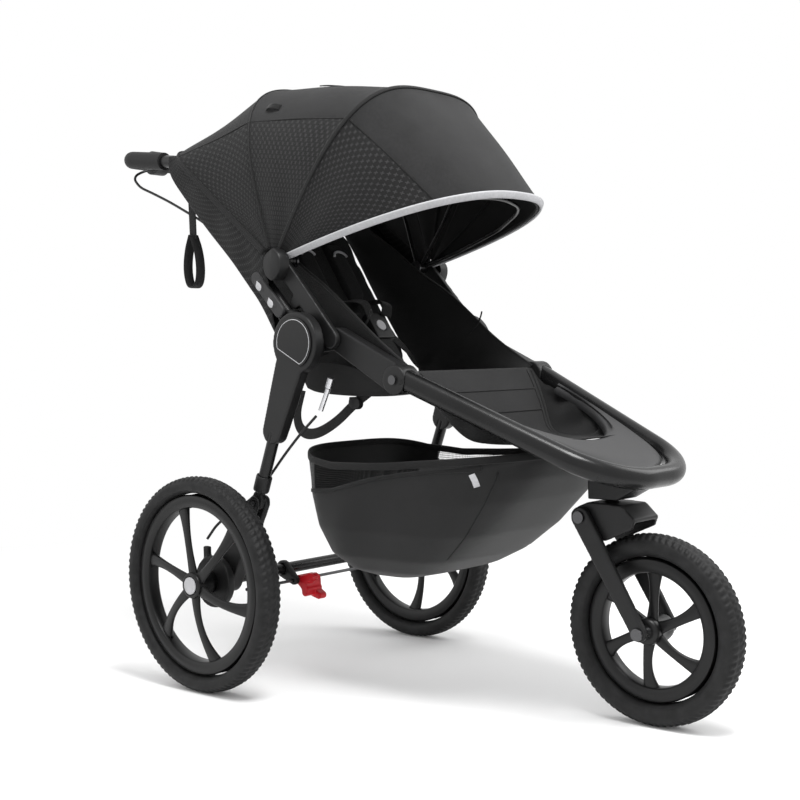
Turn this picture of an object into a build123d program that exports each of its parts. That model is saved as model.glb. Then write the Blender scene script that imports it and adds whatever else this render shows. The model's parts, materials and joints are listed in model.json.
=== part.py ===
from build123d import *
import os
from math import atan2, cos, degrees, hypot, pi, radians, sin

os.makedirs("parts", exist_ok=True)

# Jogging stroller, millimetres.  +X forward, +Y to the rider's left, +Z up.
# The origin is on the floor, midway between the rear wheels, straight below their axle.

# ---------------------------------------------------------------- driving dimensions
REAR_R, REAR_W = 198, 46            # 16 inch rear tyre: radius and width
FRONT_R, FRONT_W = 155, 50          # 12 inch front tyre
TRACK = 297                         # half the distance between the rear wheels
AXLE = (0, REAR_R)                  # rear axle, in (x, z)
FRONT_AXLE = (774, FRONT_R)
HINGE = (211, 634)                  # main fold hinge
CANOPY = (136, 786)                 # canopy pivot
SEAT_HINGE = (158, 556)             # recline hinge of the seat back
LEG_END = (93, 346)                 # rear suspension pivot
FORK_PIVOT = (668, 335)             # front suspension pivot
SWIVEL_X = 699                      # the fork's vertical swivel axis

TUBE_R, TUBE_BORE = 18, 16          # front loop tube
HANDLE_R, HANDLE_BORE = 12, 10.2    # handle tube
GRIP_R = 17
LEG_TUBE_R = 11
PIN_R = 8
RUN = 0.06                          # radial running clearance of pins and shafts

# the three side planes, each as (inner, outer) distance from the middle
FRONT_PLANE = (172, 196)
HANDLE_PLANE = (198, 222)
LEG_PLANE = (224, 246)
HANDLE_Y = sum(HANDLE_PLANE) / 2
LEG_Y = sum(LEG_PLANE) / 2
LOOP_Y = 195                        # half-width of the front loop where it leaves the castings

BOLT_1, BOLT_2 = (263, 639), (401, 566)
KNUCKLE = (413, 566)                # where the casting grips the loop tube
SLOPE = 24.5                        # the front loop's fall, degrees
LOOP = Plane(
    origin=(425, 0, 565),
    x_dir=(cos(radians(SLOPE)), 0, -sin(radians(SLOPE))),
    z_dir=(sin(radians(SLOPE)), 0, cos(radians(SLOPE))),
)
LOOP_LENGTH = 394
NOSE_Y = 120


# ---------------------------------------------------------------- helpers
def polar(centre, angle, radius):
    """Point at an elevation angle and distance from a centre, in the XZ plane."""
    return centre[0] + radius * cos(radians(angle)), centre[1] + radius * sin(radians(angle))


def prism(points, y0, y1):
    """A closed outline in (x, z), extruded from y0 to y1."""
    outline = Wire.make_polygon([(x, y0, z) for x, z in points], close=True)
    return extrude(Face(outline), amount=y1 - y0, dir=(0, 1, 0))


def disc(centre, radius, y0, y1):
    """A cylinder along Y."""
    plane = Plane(origin=(centre[0], y0, centre[1]), x_dir=(1, 0, 0), z_dir=(0, 1, 0))
    return plane * Cylinder(radius, y1 - y0, align=(Align.CENTER, Align.CENTER, Align.MIN))


def rod(start, end, radius):
    """A cylinder between two points."""
    a, b = Vector(*start), Vector(*end)
    plane = Plane(origin=a, z_dir=b - a)
    return plane * Cylinder(radius, (b - a).length, align=(Align.CENTER, Align.CENTER, Align.MIN))


def link(a, ra, b, rb, y0, y1):
    """A flat link with round ends of two radii, its sides tangent to both."""
    length = hypot(b[0] - a[0], b[1] - a[1])
    along = degrees(atan2(b[1] - a[1], b[0] - a[0]))
    lean = 90 - degrees(atan2(ra - rb, (length**2 - (ra - rb) ** 2) ** 0.5))
    sides = [polar(a, along + lean, ra), polar(b, along + lean, rb),
             polar(b, along - lean, rb), polar(a, along - lean, ra)]
    return prism(sides, y0, y1) + disc(a, ra, y0, y1) + disc(b, rb, y0, y1)


def tube(points, radius, bends, bore=0):
    """A round tube along straight runs joined by arcs."""
    path = FilletPolyline(*points, radius=bends)
    section = Circle(radius) - Circle(bore) if bore else Circle(radius)
    return sweep(Plane(origin=path @ 0, z_dir=path % 0) * section, path=path)


def block(plane, x, y, z):
    """A box on a plane, each side given as (low, high)."""
    return plane * Pos(sum(x) / 2, sum(y) / 2, sum(z) / 2) * Box(x[1] - x[0], y[1] - y[0], z[1] - z[0])


def ring(centre, outer, inner, y0, y1):
    return disc(centre, outer, y0, y1) - disc(centre, inner, y0 - 1, y1 + 1)


def both(shape):
    """The shape made for the left side, and its mirror image on the right."""
    return [shape, mirror(shape, about=Plane.XZ)]


def write(name, *shapes):
    """One node: every solid of the given shapes, in one STEP file."""
    solids = [solid for shape in shapes for solid in shape.solids()]
    export_step(solids[0] if len(solids) == 1 else Compound(solids), f"parts/{name}.step")


# ---------------------------------------------------------------- front frame
def front_loop_tube():
    path = FilletPolyline(
        *[LOOP.from_local_coords((s, y, 0)) for s, y in
          ((0, -LOOP_Y), (LOOP_LENGTH, -NOSE_Y), (LOOP_LENGTH, NOSE_Y), (0, LOOP_Y))],
        radius=115,
    )
    return sweep(Plane(origin=path @ 0, z_dir=path % 0) * (Circle(TUBE_R) - Circle(TUBE_BORE)), path=path)


def nose_plate():
    """The moulded plate inside the front of the loop, round the oval foot opening."""
    inset = 0.4 + TUBE_R

    def edge(s):
        return LOOP_Y - (LOOP_Y - NOSE_Y) * s / LOOP_LENGTH - 1.018 * inset

    front = LOOP_LENGTH - inset
    outline = FilletPolyline((60, -edge(60)), (front, -edge(front)), (front, edge(front)), (60, edge(60)),
                             radius=115 - inset)
    face = make_face([outline, Line((60, edge(60)), (60, -edge(60)))])
    return extrude(LOOP.offset(-2) * (face - Pos(60, 0) * Ellipse(202, 160)), amount=10)


def side_casting():
    """Links the fold hinge to the front loop."""
    inner, outer = FRONT_PLANE
    lug = disc(HINGE, 24, inner, outer) + link(HINGE, 20, BOLT_1, 20, inner, outer)
    bar = link(BOLT_1, 20, BOLT_2, 26, inner, outer)
    knuckle = disc(KNUCKLE, 25, inner, LOOP_Y + TUBE_R)
    socket = rod(LOOP.from_local_coords((0, LOOP_Y, 0)), LOOP.from_local_coords((63, LOOP_Y - 12, 0)), TUBE_R + 0.5)
    return lug + bar + knuckle - socket - disc(HINGE, PIN_R + RUN, inner - 1, outer + 1)


def casting_bolts():
    first = disc(BOLT_1, 8, FRONT_PLANE[1] + 0.1, FRONT_PLANE[1] + 1.4)
    second = disc(KNUCKLE, 8, LOOP_Y + TUBE_R + 0.1, LOOP_Y + TUBE_R + 4)
    return [first, second]


def steering_head():
    head = prism([(671, 363), (727, 363), (765, 384), (765, 406), (716, 428), (671, 448)], -30, 30)
    return head - rod((SWIVEL_X, 0, 350), (SWIVEL_X, 0, 402), 10 + RUN)


def seat_base():
    return prism([(160, 546), (400, 546), (408, 572), (182, 570)], -145, 145)


def seat_sides():
    """The soft side walls beside the sitter."""
    outline = [(190, 574), (395, 574), (360, 604), (300, 655), (236, 706), (190, 742), (176, 700)]
    return prism(outline, 148, 166)


def calf_panel():
    """Falls steeply from the seat's front edge to the floor of the foot well."""
    return prism([(411, 576), (419, 580), (499, 462), (491, 458)], -150, 150)


def foot_well():
    """The soft tub under the foot opening: a floor and two sides."""
    outer = prism([(505, 455), (654, 455), (650, 459), (600, 481), (585, 500), (510, 541), (452, 541)], -120, 120)
    return outer - prism([(400, 459), (700, 459), (700, 560), (400, 560)], -116, 116)


BASKET_SECTIONS = (                 # height, rear x, front x, half-width
    (208, 165, 330, 100),
    (262, 130, 462, 150),
    (330, 118, 552, 176),
    (424, 112, 618, 186),
)


def tub(shrink, floor):
    """Basket body through level rectangles; shrink pulls every wall in."""
    sections = []
    for level, (z, rear, front, half) in enumerate(BASKET_SECTIONS):
        height = z + floor if level == 0 else z
        plane = Plane(origin=((rear + front) / 2, 0, height))
        sections.append(plane * Rectangle(front - rear - 2 * shrink, 2 * (half - shrink)))
    return loft(sections, ruled=True)


def basket():
    top = BASKET_SECTIONS[-1]
    lid = block(Plane.XY, (top[1] + 4, top[2] - 4), (4 - top[3], top[3] - 4), (top[0] - 0.5, top[0] + 5))
    return tub(0, 0) - tub(4, 4) - lid


def basket_rim():
    z, rear, front, half = BASKET_SECTIONS[-1]
    z += 7
    corner = [(rear + 3, -half + 3, z), (front - 3, -half + 3, z), (front - 3, half - 3, z),
              (rear + 3, half - 3, z)]
    return [rod(corner[i], corner[(i + 1) % 4], 4) for i in (0, 2)]


def crotch_strap():
    return prism([(236, 573), (242, 573), (204, 634), (198, 632)], -14, 14)


BUCKLE = Plane(origin=(186, 0, 662), x_dir=(0, 1, 0), z_dir=(0.85, 0, 0.53))


def buckle():
    body = block(BUCKLE, (-24, 24), (-28, 28), (-9, 9))
    return body - BUCKLE * Pos(0, 0, 7) * Cylinder(11.3, 12)


def buckle_button():
    return BUCKLE * Pos(0, 0, 7.5) * Cylinder(11, 5)


# ---------------------------------------------------------------- handle
def handle_line(x):
    """Point of the straight lower handle tube at a given x, in (x, z)."""
    return x, HINGE[1] + (HINGE[0] - x) * 1.062


BEND = handle_line(-128)
REAR_CORNER = (-300, 1019)
CORNER_BEND = 28


def hinge_core():
    """The handle side of the fold hinge, with the socket that holds the tube."""
    inner, outer = HANDLE_PLANE
    body = link(HINGE, 32, handle_line(172), 19, inner, outer)
    return body - disc(HINGE, PIN_R + RUN, inner - 1, outer + 1) - rod(
        on_side(handle_line(185)), on_side(handle_line(120)), HANDLE_R + 0.1)


def on_side(point, y=HANDLE_Y):
    """A point (x, z) as (x, y, z) in the handle's side plane."""
    return point[0], y, point[1]


def handle_tube():
    side = [handle_line(185), BEND, REAR_CORNER]
    left = [on_side(p) for p in side]
    right = [on_side(p, -HANDLE_Y) for p in reversed(side)]
    return tube(left + right, HANDLE_R, [70, CORNER_BEND, CORNER_BEND, 70], bore=HANDLE_BORE)


def handle_grip():
    ends = (-180, BEND[1] + (REAR_CORNER[1] - BEND[1]) * 52 / 172)
    points = [on_side(ends), on_side(REAR_CORNER), on_side(REAR_CORNER, -HANDLE_Y), on_side(ends, -HANDLE_Y)]
    return tube(points, GRIP_R, CORNER_BEND, bore=HANDLE_R + 0.1)


def upper_arm():
    """Slim arm from the canopy pivot down to the casting's first bolt."""
    y = HANDLE_PLANE[0]
    arm = link((CANOPY[0] + 4, CANOPY[1] - 4), 15, BOLT_1, 17, y, y + 12)
    web = link((176, 706), 11, (196, 716), 11, y, y + 12)
    core = link(HINGE, 32.3, handle_line(172), 19.3, y - 1, y + 13)
    return arm + web - core - rod(on_side(handle_line(200)), on_side(handle_line(60)), HANDLE_R + 0.3)


def canopy_rail():
    a, b = handle_line(156), handle_line(98)
    return link(a, 12, b, 12, HANDLE_PLANE[1] + 0.3, HANDLE_PLANE[1] + 8)


def rail_plates():
    y = HANDLE_PLANE[1] + 8.2
    plates = []
    for x in (112, 142):
        low = handle_line(x)
        plates.append(prism([(low[0] - 8, low[1] - 8), (low[0] + 8, low[1] - 8),
                             (low[0] - 2, low[1] + 10), (low[0] - 16, low[1] + 10)], y, y + 2))
    return plates


BAR_X, BAR_Z = REAR_CORNER


def brake_lever_housing():
    collar = rod((BAR_X, -150, BAR_Z), (BAR_X, -118, BAR_Z), 24) - rod(
        (BAR_X, -151, BAR_Z), (BAR_X, -117, BAR_Z), GRIP_R + 0.2)
    return collar + prism([(BAR_X + 20, BAR_Z - 10), (BAR_X + 44, BAR_Z - 14), (BAR_X + 44, BAR_Z + 2),
                           (BAR_X + 20, BAR_Z + 6)], -150, -137)


def brake_lever():
    """Lever in front of the bar; it turns on its round boss and is squeezed towards the grip."""
    boss = rod((BAR_X + 36, -131, BAR_Z - 13), (BAR_X + 36, -131, BAR_Z + 1), 5)
    return boss + block(Plane.XY, (BAR_X + 32, BAR_X + 41), (-131, -40), (BAR_Z - 13, BAR_Z + 1))


def brake_cable_upper():
    """Outer cable from the lever, round below the bar and down inside the handle tube."""
    points = [(-276, -142, 1003), (-280, -178, 999), (-294, -202, 985), (-274, -201, 962),
              (-240, -196, 947), (-189, -192, 924), (-77, -190, 869), (-20, -188, 820),
              (50, -184, 762), (112, -182, 700), (158, -182, 652)]
    return cable(points)


def cable(points, radius=2.5):
    """A cable along straight runs, with the largest arcs that the runs allow."""
    radii = []
    for before, here, after in zip(points, points[1:], points[2:]):
        a, b = Vector(*here) - Vector(*before), Vector(*after) - Vector(*here)
        half_turn = radians(a.get_angle(b)) / 2
        radii.append(0.45 * min(a.length, b.length) * cos(half_turn) / sin(half_turn))
    print("cable bend radii", [round(r) for r in radii])
    return tube(points, radius, radii)


def wrist_strap():
    """Webbing loop hanging below the handle tube on the right."""
    outer = [(-109, 951), (-87, 928), (-87, 846), (-76, 815), (-76, 776), (-88, 750), (-104, 750),
             (-117, 776), (-117, 815), (-109, 846)]
    inner = [(-97, 836), (-82, 811), (-82, 779), (-92, 757), (-101, 757), (-111, 779), (-111, 811)]
    return prism(outer, -HANDLE_Y - 11, -HANDLE_Y + 11) - prism(inner, -HANDLE_Y - 12, -HANDLE_Y + 12)


# ---------------------------------------------------------------- canopy
# Each arch stands in a plane through the canopy pivot: elevation, half-width, height
ARCHES = {
    "edge": (144, 206, 366),
    "rear": (107, 204, 352),
    "mid": (53, 204, 352),
    "front": (15, 204, 372),
}
SQUARENESS = 2.6                    # superellipse exponent of the arches
BOW_R, BOW_INSET = 3.4, 13          # bow wire, and how far inside the arch it runs
EYE = 3.6                           # half the thickness of a bow's pivot eye
PIVOT_R = 4
ARCH_FOOT = 24                      # the covers end this far from the pivot


def arch_points(name, inset, count=20):
    """Superellipse arch from one side to the other, as points in space."""
    angle, half, height = ARCHES[name]
    points = []
    for k in range(count + 1):
        t = pi * k / count
        across = abs(cos(t)) ** (2 / SQUARENESS) * (half - inset) * (1 if cos(t) >= 0 else -1)
        up = abs(sin(t)) ** (2 / SQUARENESS) * (height - ARCH_FOOT - inset) + ARCH_FOOT
        x, z = polar(CANOPY, angle, up)
        points.append((x, across, z))
    return points


def arch_face(name, outer, inner):
    """The arch as a thin strip, between two insets."""
    ring_points = arch_points(name, outer) + arch_points(name, inner)[::-1]
    return Face(Wire.make_polygon(ring_points, close=True))


def canopy_cover(first, second, outer=0.0, thickness=4.0):
    return Solid.make_loft(
        [arch_face(first, outer, outer + thickness).outer_wire(),
         arch_face(second, outer, outer + thickness).outer_wire()], ruled=True)


def bow(name, side_y):
    """A spring-steel bow: an eye on each pivot pin, two legs, and a crown inside the arch."""
    angle = ARCHES[name][0]
    crown = arch_points(name, BOW_INSET, 12)[2:11:2]
    legs = [(x, y, z) for y, up in ((side_y, 9), (side_y, 100))
            for x, z in [polar(CANOPY, angle, up)]]
    other = [(x, -y, z) for x, y, z in legs[::-1]]
    wire = tube(legs + crown + other, BOW_R, [80, 80, 110, 160, 110, 80, 80])
    eye = disc(CANOPY, 11, side_y - EYE, side_y + EYE)
    bore = disc(CANOPY, PIVOT_R + RUN, side_y - EYE - 1, side_y + EYE + 1)
    body = wire + eye + mirror(eye, about=Plane.XZ)
    return body - bore - mirror(bore, about=Plane.XZ)


def canopy_hub():
    """Pivot pin of the three bows, with its inner head and outer boss."""
    pin = disc(CANOPY, PIVOT_R, FRONT_PLANE[0] - 3, HANDLE_PLANE[0] - 0.3)
    return pin + disc(CANOPY, 13, FRONT_PLANE[0] - 4, FRONT_PLANE[0] - 0.3)


# ---------------------------------------------------------------- seat back
BACK_ANGLE = 122.5
BACK = Plane(
    origin=(163, 0, 572),
    x_dir=(0, 1, 0),
    z_dir=(sin(radians(BACK_ANGLE)), 0, -cos(radians(BACK_ANGLE))),
)


def seat_back():
    return block(BACK, (-142, 142), (6, 372), (-30, 0))


def back_board():
    """Stiffener behind the back pad, with the rod of the recline hinge at its foot."""
    board = block(BACK, (-132, 132), (12, 360), (-36, -30.4))
    hinge = disc(SEAT_HINGE, 5, -140, 140)
    arm = link(SEAT_HINGE, 5, (127, 554), 4, 96, 112) + link((127, 554), 4, (125, 565), 4, 96, 112)
    return board + hinge + arm + mirror(arm, about=Plane.XZ)


def shoulder_pads():
    return [block(BACK, (y - 22, y + 22), (170, 300), (0.5, 14)) for y in (-45, 45)]


def chest_clip():
    return block(BACK, (-40, 40), (132, 160), (1, 15))


# ---------------------------------------------------------------- rear legs
LEG_RUN = ((145, LEG_Y, 475), (104, LEG_Y, 373))    # centre line of the leg tube


def leg_housing():
    inner, outer = LEG_PLANE
    body = disc(HINGE, 54, inner, outer) + link(HINGE, 36, (146, 478), 23, inner, outer)
    return body - disc(HINGE, PIN_R + 0.1, inner - 1, inner + 14) - rod(*LEG_RUN, LEG_TUBE_R + 0.1)


def hinge_badge():
    """Plain inlay with a flat cut at its lower rear."""
    flat = Plane(origin=(HINGE[0], 0, HINGE[1]), x_dir=(cos(radians(-28)), 0, sin(radians(-28))),
                 z_dir=(0, 1, 0))
    cut = block(flat, (-80, 80), (30, 90), (240, 260))
    return disc(HINGE, 45, LEG_PLANE[1] + 0.2, LEG_PLANE[1] + 2.4) - cut


def hinge_pin():
    return disc(HINGE, PIN_R, FRONT_PLANE[0] - 2, LEG_PLANE[0] + 12) + disc(
        HINGE, 14, FRONT_PLANE[0] - 5, FRONT_PLANE[0] - 0.5)


def leg_tube():
    return rod(*LEG_RUN, LEG_TUBE_R)


def leg_sleeve():
    """Lower end of the leg, with the lug that carries the suspension pivot."""
    collar = rod((113.6, LEG_Y, 397), (102, LEG_Y, 368), 15) - rod(*LEG_RUN, LEG_TUBE_R + 0.1)
    lug = link(LEG_END, 13, (97, 356), 13, LEG_Y - 6, LEG_Y + 6) - rod(*LEG_RUN, LEG_TUBE_R + 0.1)
    return collar + lug - disc(LEG_END, 5 + RUN, LEG_Y - 8, LEG_Y + 8)


def brake_cable_lower():
    points = [(228, -213, 504), (190, -214, 474), (146, -215, 434), (104, -215, 392),
              (66, -217, 356), (28, -232, 328), (-4, -250, 304), (-22, -261, 275)]
    return cable(points)


def cable_adjuster():
    """Adjuster barrel and ferrule hanging from the right casting."""
    barrel = rod((250, -203, 552), (233, -206, 514), 4.5)
    ferrule = rod((257, -202, 570), (250.6, -202.9, 553.4), 6)
    return [barrel, ferrule]


# ---------------------------------------------------------------- rear axle
def axle_bracket():
    """Clevis on the leg's lug, and the arm down to the axle."""
    inner, outer = LEG_PLANE
    arm = link((50, 278), 20, AXLE, 24, inner - 8, outer)
    ears = link(LEG_END, 14, (50, 278), 20, inner - 8, LEG_Y - 6.5) + link(
        LEG_END, 14, (50, 278), 20, LEG_Y + 6.5, outer)
    return arm + ears - disc(AXLE, 6.1, outer - 20, outer + 1) - disc(
        LEG_END, 5.1, inner - 9, outer + 1) - disc(AXLE, 11.1, inner - 9, inner + 4)


def suspension_pin():
    return disc(LEG_END, 5, LEG_PLANE[0] - 10, LEG_PLANE[1] + 2)


def axle_tube():
    return disc(AXLE, 11, -LEG_PLANE[0] - 3, LEG_PLANE[0] + 3)


def stub_axle():
    return disc(AXLE, 6, LEG_PLANE[1] - 19, 311)


def brake_plate():
    """Brake backing plate inboard of the wheel."""
    return ring(AXLE, 48, 6.2, 256, 271) + prism([(-30, 228), (-16, 240), (-16, 262), (-30, 262)], 256, 266)


def brake_rod():
    """Thin rod that carries the foot brake to each wheel."""
    return disc((30, 178), 3, -214, 214)


PEDAL_PIVOT = (30, 178)


def pedal_bracket():
    return link(AXLE, 17, PEDAL_PIVOT, 9, -96, -84) - disc(AXLE, 11.1, -97, -83) - disc(
        PEDAL_PIVOT, 3.1, -97, -83)


def brake_pedal():
    """Two-lobed red pedal that turns on the brake rod."""
    arm = link(PEDAL_PIVOT, 9, (48, 160), 7, -80, -40)
    lobes = link((44, 178), 9, (62, 186), 7, -80, -62) + link((44, 152), 9, (60, 146), 7, -58, -40)
    bridge = link((44, 178), 8, (46, 154), 8, -80, -40)
    return arm + lobes + bridge - disc(PEDAL_PIVOT, 3 + RUN, -82, -38)


# ---------------------------------------------------------------- wheels
def tyre(centre, radius, width, inner, y):
    """Round-shouldered tyre, turned about its axle."""
    half = width / 2
    crown = [(radius - 0.55 * half, half), (radius, half * 0.25), (radius, -half * 0.25),
             (radius - 0.55 * half, -half), (inner, -half * 0.62), (inner, half * 0.62)]
    outline = Wire.make_polygon([(centre[0] + r, y + w, centre[1]) for r, w in crown], close=True)
    return revolve(Face(outline), axis=Axis((centre[0], 0, centre[1]), (0, 1, 0)))


def spokes(centre, y0, y1, hub_r, rim_r, first):
    shapes = []
    for k in range(6):
        angle = first + 60 * k
        shapes.append(link(polar(centre, angle, hub_r), 12, polar(centre, angle, rim_r), 9, y0, y1))
    return shapes


def rear_rim():
    """Left rear rim with its dished spokes and hub; the outer face is at +y."""
    rim = ring(AXLE, 164.8, 141, TRACK - 14, TRACK + 14)
    hub = disc(AXLE, 23, 275, 322)
    body = rim + hub
    for spoke in spokes(AXLE, 297, 309, 22, 146, 92):
        body += spoke
    return body - disc(AXLE, 6 + RUN, 270, 312) - disc(AXLE, 15.9, 314, 323)


def hub_button():
    return disc(AXLE, 15.6, 318.3, 324)


def front_rim():
    rim = ring(FRONT_AXLE, 115.8, 93, -14, 14)
    body = rim + disc(FRONT_AXLE, 21, -30, 30)
    for spoke in spokes(FRONT_AXLE, -9, 9, 18, 98, 80):
        body += spoke
    return body - disc(FRONT_AXLE, 6 + RUN, -31, 31)


# ---------------------------------------------------------------- fork
def swivel_housing():
    """Turns under the nose; its arch clears the tyre, and its stem runs in the steering head."""
    outline = [(650, 322), (654, 350), (676, 359), (740, 356), (764, 334), (758, 318), (706, 296), (660, 312)]
    body = prism(outline, -38, 38) - disc((780, 158), 172, -31.5, 31.5)
    stem = rod((SWIVEL_X, 0, 358), (SWIVEL_X, 0, 400), 10)
    return body + stem - disc(FORK_PIVOT, 6 + RUN, -39, 39)


def fork_arm():
    arm = link(FORK_PIVOT, 17, FRONT_AXLE, 13, 40, 52)
    return arm - disc(FRONT_AXLE, 6.1, 39, 53) - disc(FORK_PIVOT, 6.1, 39, 53)


def front_axle():
    return disc(FRONT_AXLE, 6, -52, 52)


def fork_bolts():
    pin = disc(FORK_PIVOT, 6, -52, 52)
    heads = [disc(FORK_PIVOT, 10, 52.1, 56), disc(FRONT_AXLE, 10, 52.1, 57)]
    return [pin, *[copy for head in heads for copy in both(head)]]


# ---------------------------------------------------------------- every node
def build():
    write("front_loop_tube", front_loop_tube())
    write("nose_plate", nose_plate())
    write("side_castings", *both(side_casting()))
    write("casting_bolts", *[copy for bolt in casting_bolts() for copy in both(bolt)])
    write("steering_head", steering_head())
    write("seat_base", seat_base())
    write("seat_sides", *both(seat_sides()))
    write("calf_panel", calf_panel())
    write("foot_well", foot_well())
    write("basket", basket())
    write("basket_rim", *basket_rim())
    write("crotch_strap", crotch_strap())
    write("buckle", buckle())
    write("buckle_button", buckle_button())
    write("cable_adjuster", *cable_adjuster())

    write("hinge_cores", *both(hinge_core()))
    write("handle_tube", handle_tube())
    write("handle_grip", handle_grip())
    write("upper_arms", *both(upper_arm()))
    write("canopy_rails", *both(canopy_rail()), *[copy for plate in rail_plates() for copy in both(plate)])
    write("brake_lever_housing", brake_lever_housing())
    write("brake_lever", brake_lever())
    write("brake_cable_upper", brake_cable_upper())
    write("wrist_strap", wrist_strap())

    write("canopy_hubs", *both(canopy_hub()))
    write("canopy_rear_bow", bow("rear", 176))
    write("canopy_mid_bow", bow("mid", 184))
    write("canopy_front_bow", bow("front", 192))
    write("canopy_back_panel", canopy_cover("edge", "rear"))
    write("canopy_roof", canopy_cover("rear", "mid"))
    write("canopy_visor", canopy_cover("mid", "front"))

    write("seat_back", seat_back())
    write("back_board", back_board())
    write("shoulder_pads", *shoulder_pads())
    write("chest_clip", chest_clip())

    write("leg_housings", *both(leg_housing()))
    write("hinge_badges", *both(hinge_badge()))
    write("hinge_pins", *both(hinge_pin()))
    write("leg_tubes", *both(leg_tube()))
    write("leg_sleeves", *both(leg_sleeve()))
    write("brake_cable_lower", brake_cable_lower())

    write("axle_brackets", *both(axle_bracket()), pedal_bracket())
    write("suspension_pins", *both(suspension_pin()))
    write("axle_tube", axle_tube())
    write("stub_axles", *both(stub_axle()))
    write("brake_plates", *both(brake_plate()))
    write("brake_rod", brake_rod())
    write("brake_pedal", brake_pedal())

    for side, sign in (("left", 1), ("right", -1)):
        write(f"rear_tyre_{side}", tyre(AXLE, REAR_R, REAR_W, 165.1, sign * TRACK))
        rim, button = rear_rim(), hub_button()
        if sign < 0:
            rim, button = mirror(rim, about=Plane.XZ), mirror(button, about=Plane.XZ)
        write(f"rear_rim_{side}", rim)
        write(f"hub_button_{side}", button)

    write("swivel_housing", swivel_housing())
    write("fork_arms", *both(fork_arm()))
    write("front_axle", front_axle())
    write("fork_bolts", *fork_bolts())
    write("front_tyre", tyre(FRONT_AXLE, FRONT_R, FRONT_W, 116.1, 0))
    write("front_rim", front_rim())


build()
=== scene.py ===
# %% [markdown]
# # Jogging stroller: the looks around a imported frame
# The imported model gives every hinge, tube and wheel its place. This script loads it as a fixed
# frame, then builds the fabric, tyres and mouldings around it. Lengths are in metres.

# %% Load the frame
import json
from math import atan2, cos, pi, radians, sin

import bmesh
import bpy
import numpy as np
from mathutils import Matrix, Vector

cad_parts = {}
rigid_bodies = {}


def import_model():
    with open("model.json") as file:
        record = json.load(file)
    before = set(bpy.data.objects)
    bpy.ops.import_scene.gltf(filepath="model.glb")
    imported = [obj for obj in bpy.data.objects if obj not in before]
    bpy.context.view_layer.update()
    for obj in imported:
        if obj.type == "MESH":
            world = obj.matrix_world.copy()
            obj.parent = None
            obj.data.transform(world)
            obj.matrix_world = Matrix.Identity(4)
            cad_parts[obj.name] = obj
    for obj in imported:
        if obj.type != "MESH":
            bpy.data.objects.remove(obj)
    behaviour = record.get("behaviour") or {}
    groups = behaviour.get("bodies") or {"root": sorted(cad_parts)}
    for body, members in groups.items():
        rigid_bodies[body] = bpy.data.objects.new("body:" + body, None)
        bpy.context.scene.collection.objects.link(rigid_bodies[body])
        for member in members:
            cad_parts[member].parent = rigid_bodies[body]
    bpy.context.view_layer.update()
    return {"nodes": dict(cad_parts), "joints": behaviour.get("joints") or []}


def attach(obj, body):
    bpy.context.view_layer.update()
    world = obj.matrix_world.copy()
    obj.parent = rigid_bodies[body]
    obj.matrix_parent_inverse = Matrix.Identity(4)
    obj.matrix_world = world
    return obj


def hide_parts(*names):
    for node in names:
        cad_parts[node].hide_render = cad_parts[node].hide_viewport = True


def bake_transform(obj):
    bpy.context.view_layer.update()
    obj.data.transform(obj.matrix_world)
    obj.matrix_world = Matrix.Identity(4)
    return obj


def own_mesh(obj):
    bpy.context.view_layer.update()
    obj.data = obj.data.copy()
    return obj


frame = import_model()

JOINTS = {joint["name"]: joint for joint in frame["joints"]}
HINGE = np.array(JOINTS["frame_fold"]["pos_m"])
CANOPY = np.array(JOINTS["canopy_fold"]["pos_m"])
FRONT_AXLE = np.array(JOINTS["front_wheel_spin"]["pos_m"])

# %% [markdown]
# ## Camera
# A product view from the front right, almost level. The camera's axes are worked out from an
# azimuth, an elevation and a small roll, because a hand-held camera is never quite level.

# %% Camera
CAMERA_PLACE = Vector((1.8586, -1.8067, 0.594))
AZIMUTH, ELEVATION, ROLL = radians(41.92), radians(1.64), radians(-1.5)


def make_camera():
    """The view axis is a unit vector from azimuth and elevation; roll turns the other two about it."""
    back = Vector((sin(AZIMUTH) * cos(ELEVATION), -cos(AZIMUTH) * cos(ELEVATION), sin(ELEVATION)))
    right = Vector((cos(AZIMUTH), sin(AZIMUTH), 0))
    up = back.cross(right)
    right, up = right * cos(ROLL) + up * sin(ROLL), up * cos(ROLL) - right * sin(ROLL)
    data = bpy.data.cameras.new("studio_camera")
    data.lens, data.sensor_width, data.clip_end = 58.17, 36, 60
    camera = bpy.data.objects.new("studio_camera", data)
    bpy.context.collection.objects.link(camera)
    camera.matrix_world = Matrix((right, up, back)).transposed().to_4x4()
    camera.location = CAMERA_PLACE
    bpy.context.scene.camera = camera


make_camera()

# %% [markdown]
# ## Surfaces from arrays
# Every new piece is a grid of points worked out by numpy. One function turns a grid into a mesh,
# with faces found by index arithmetic and a UV map in metres, so a weave keeps its real scale.


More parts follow.
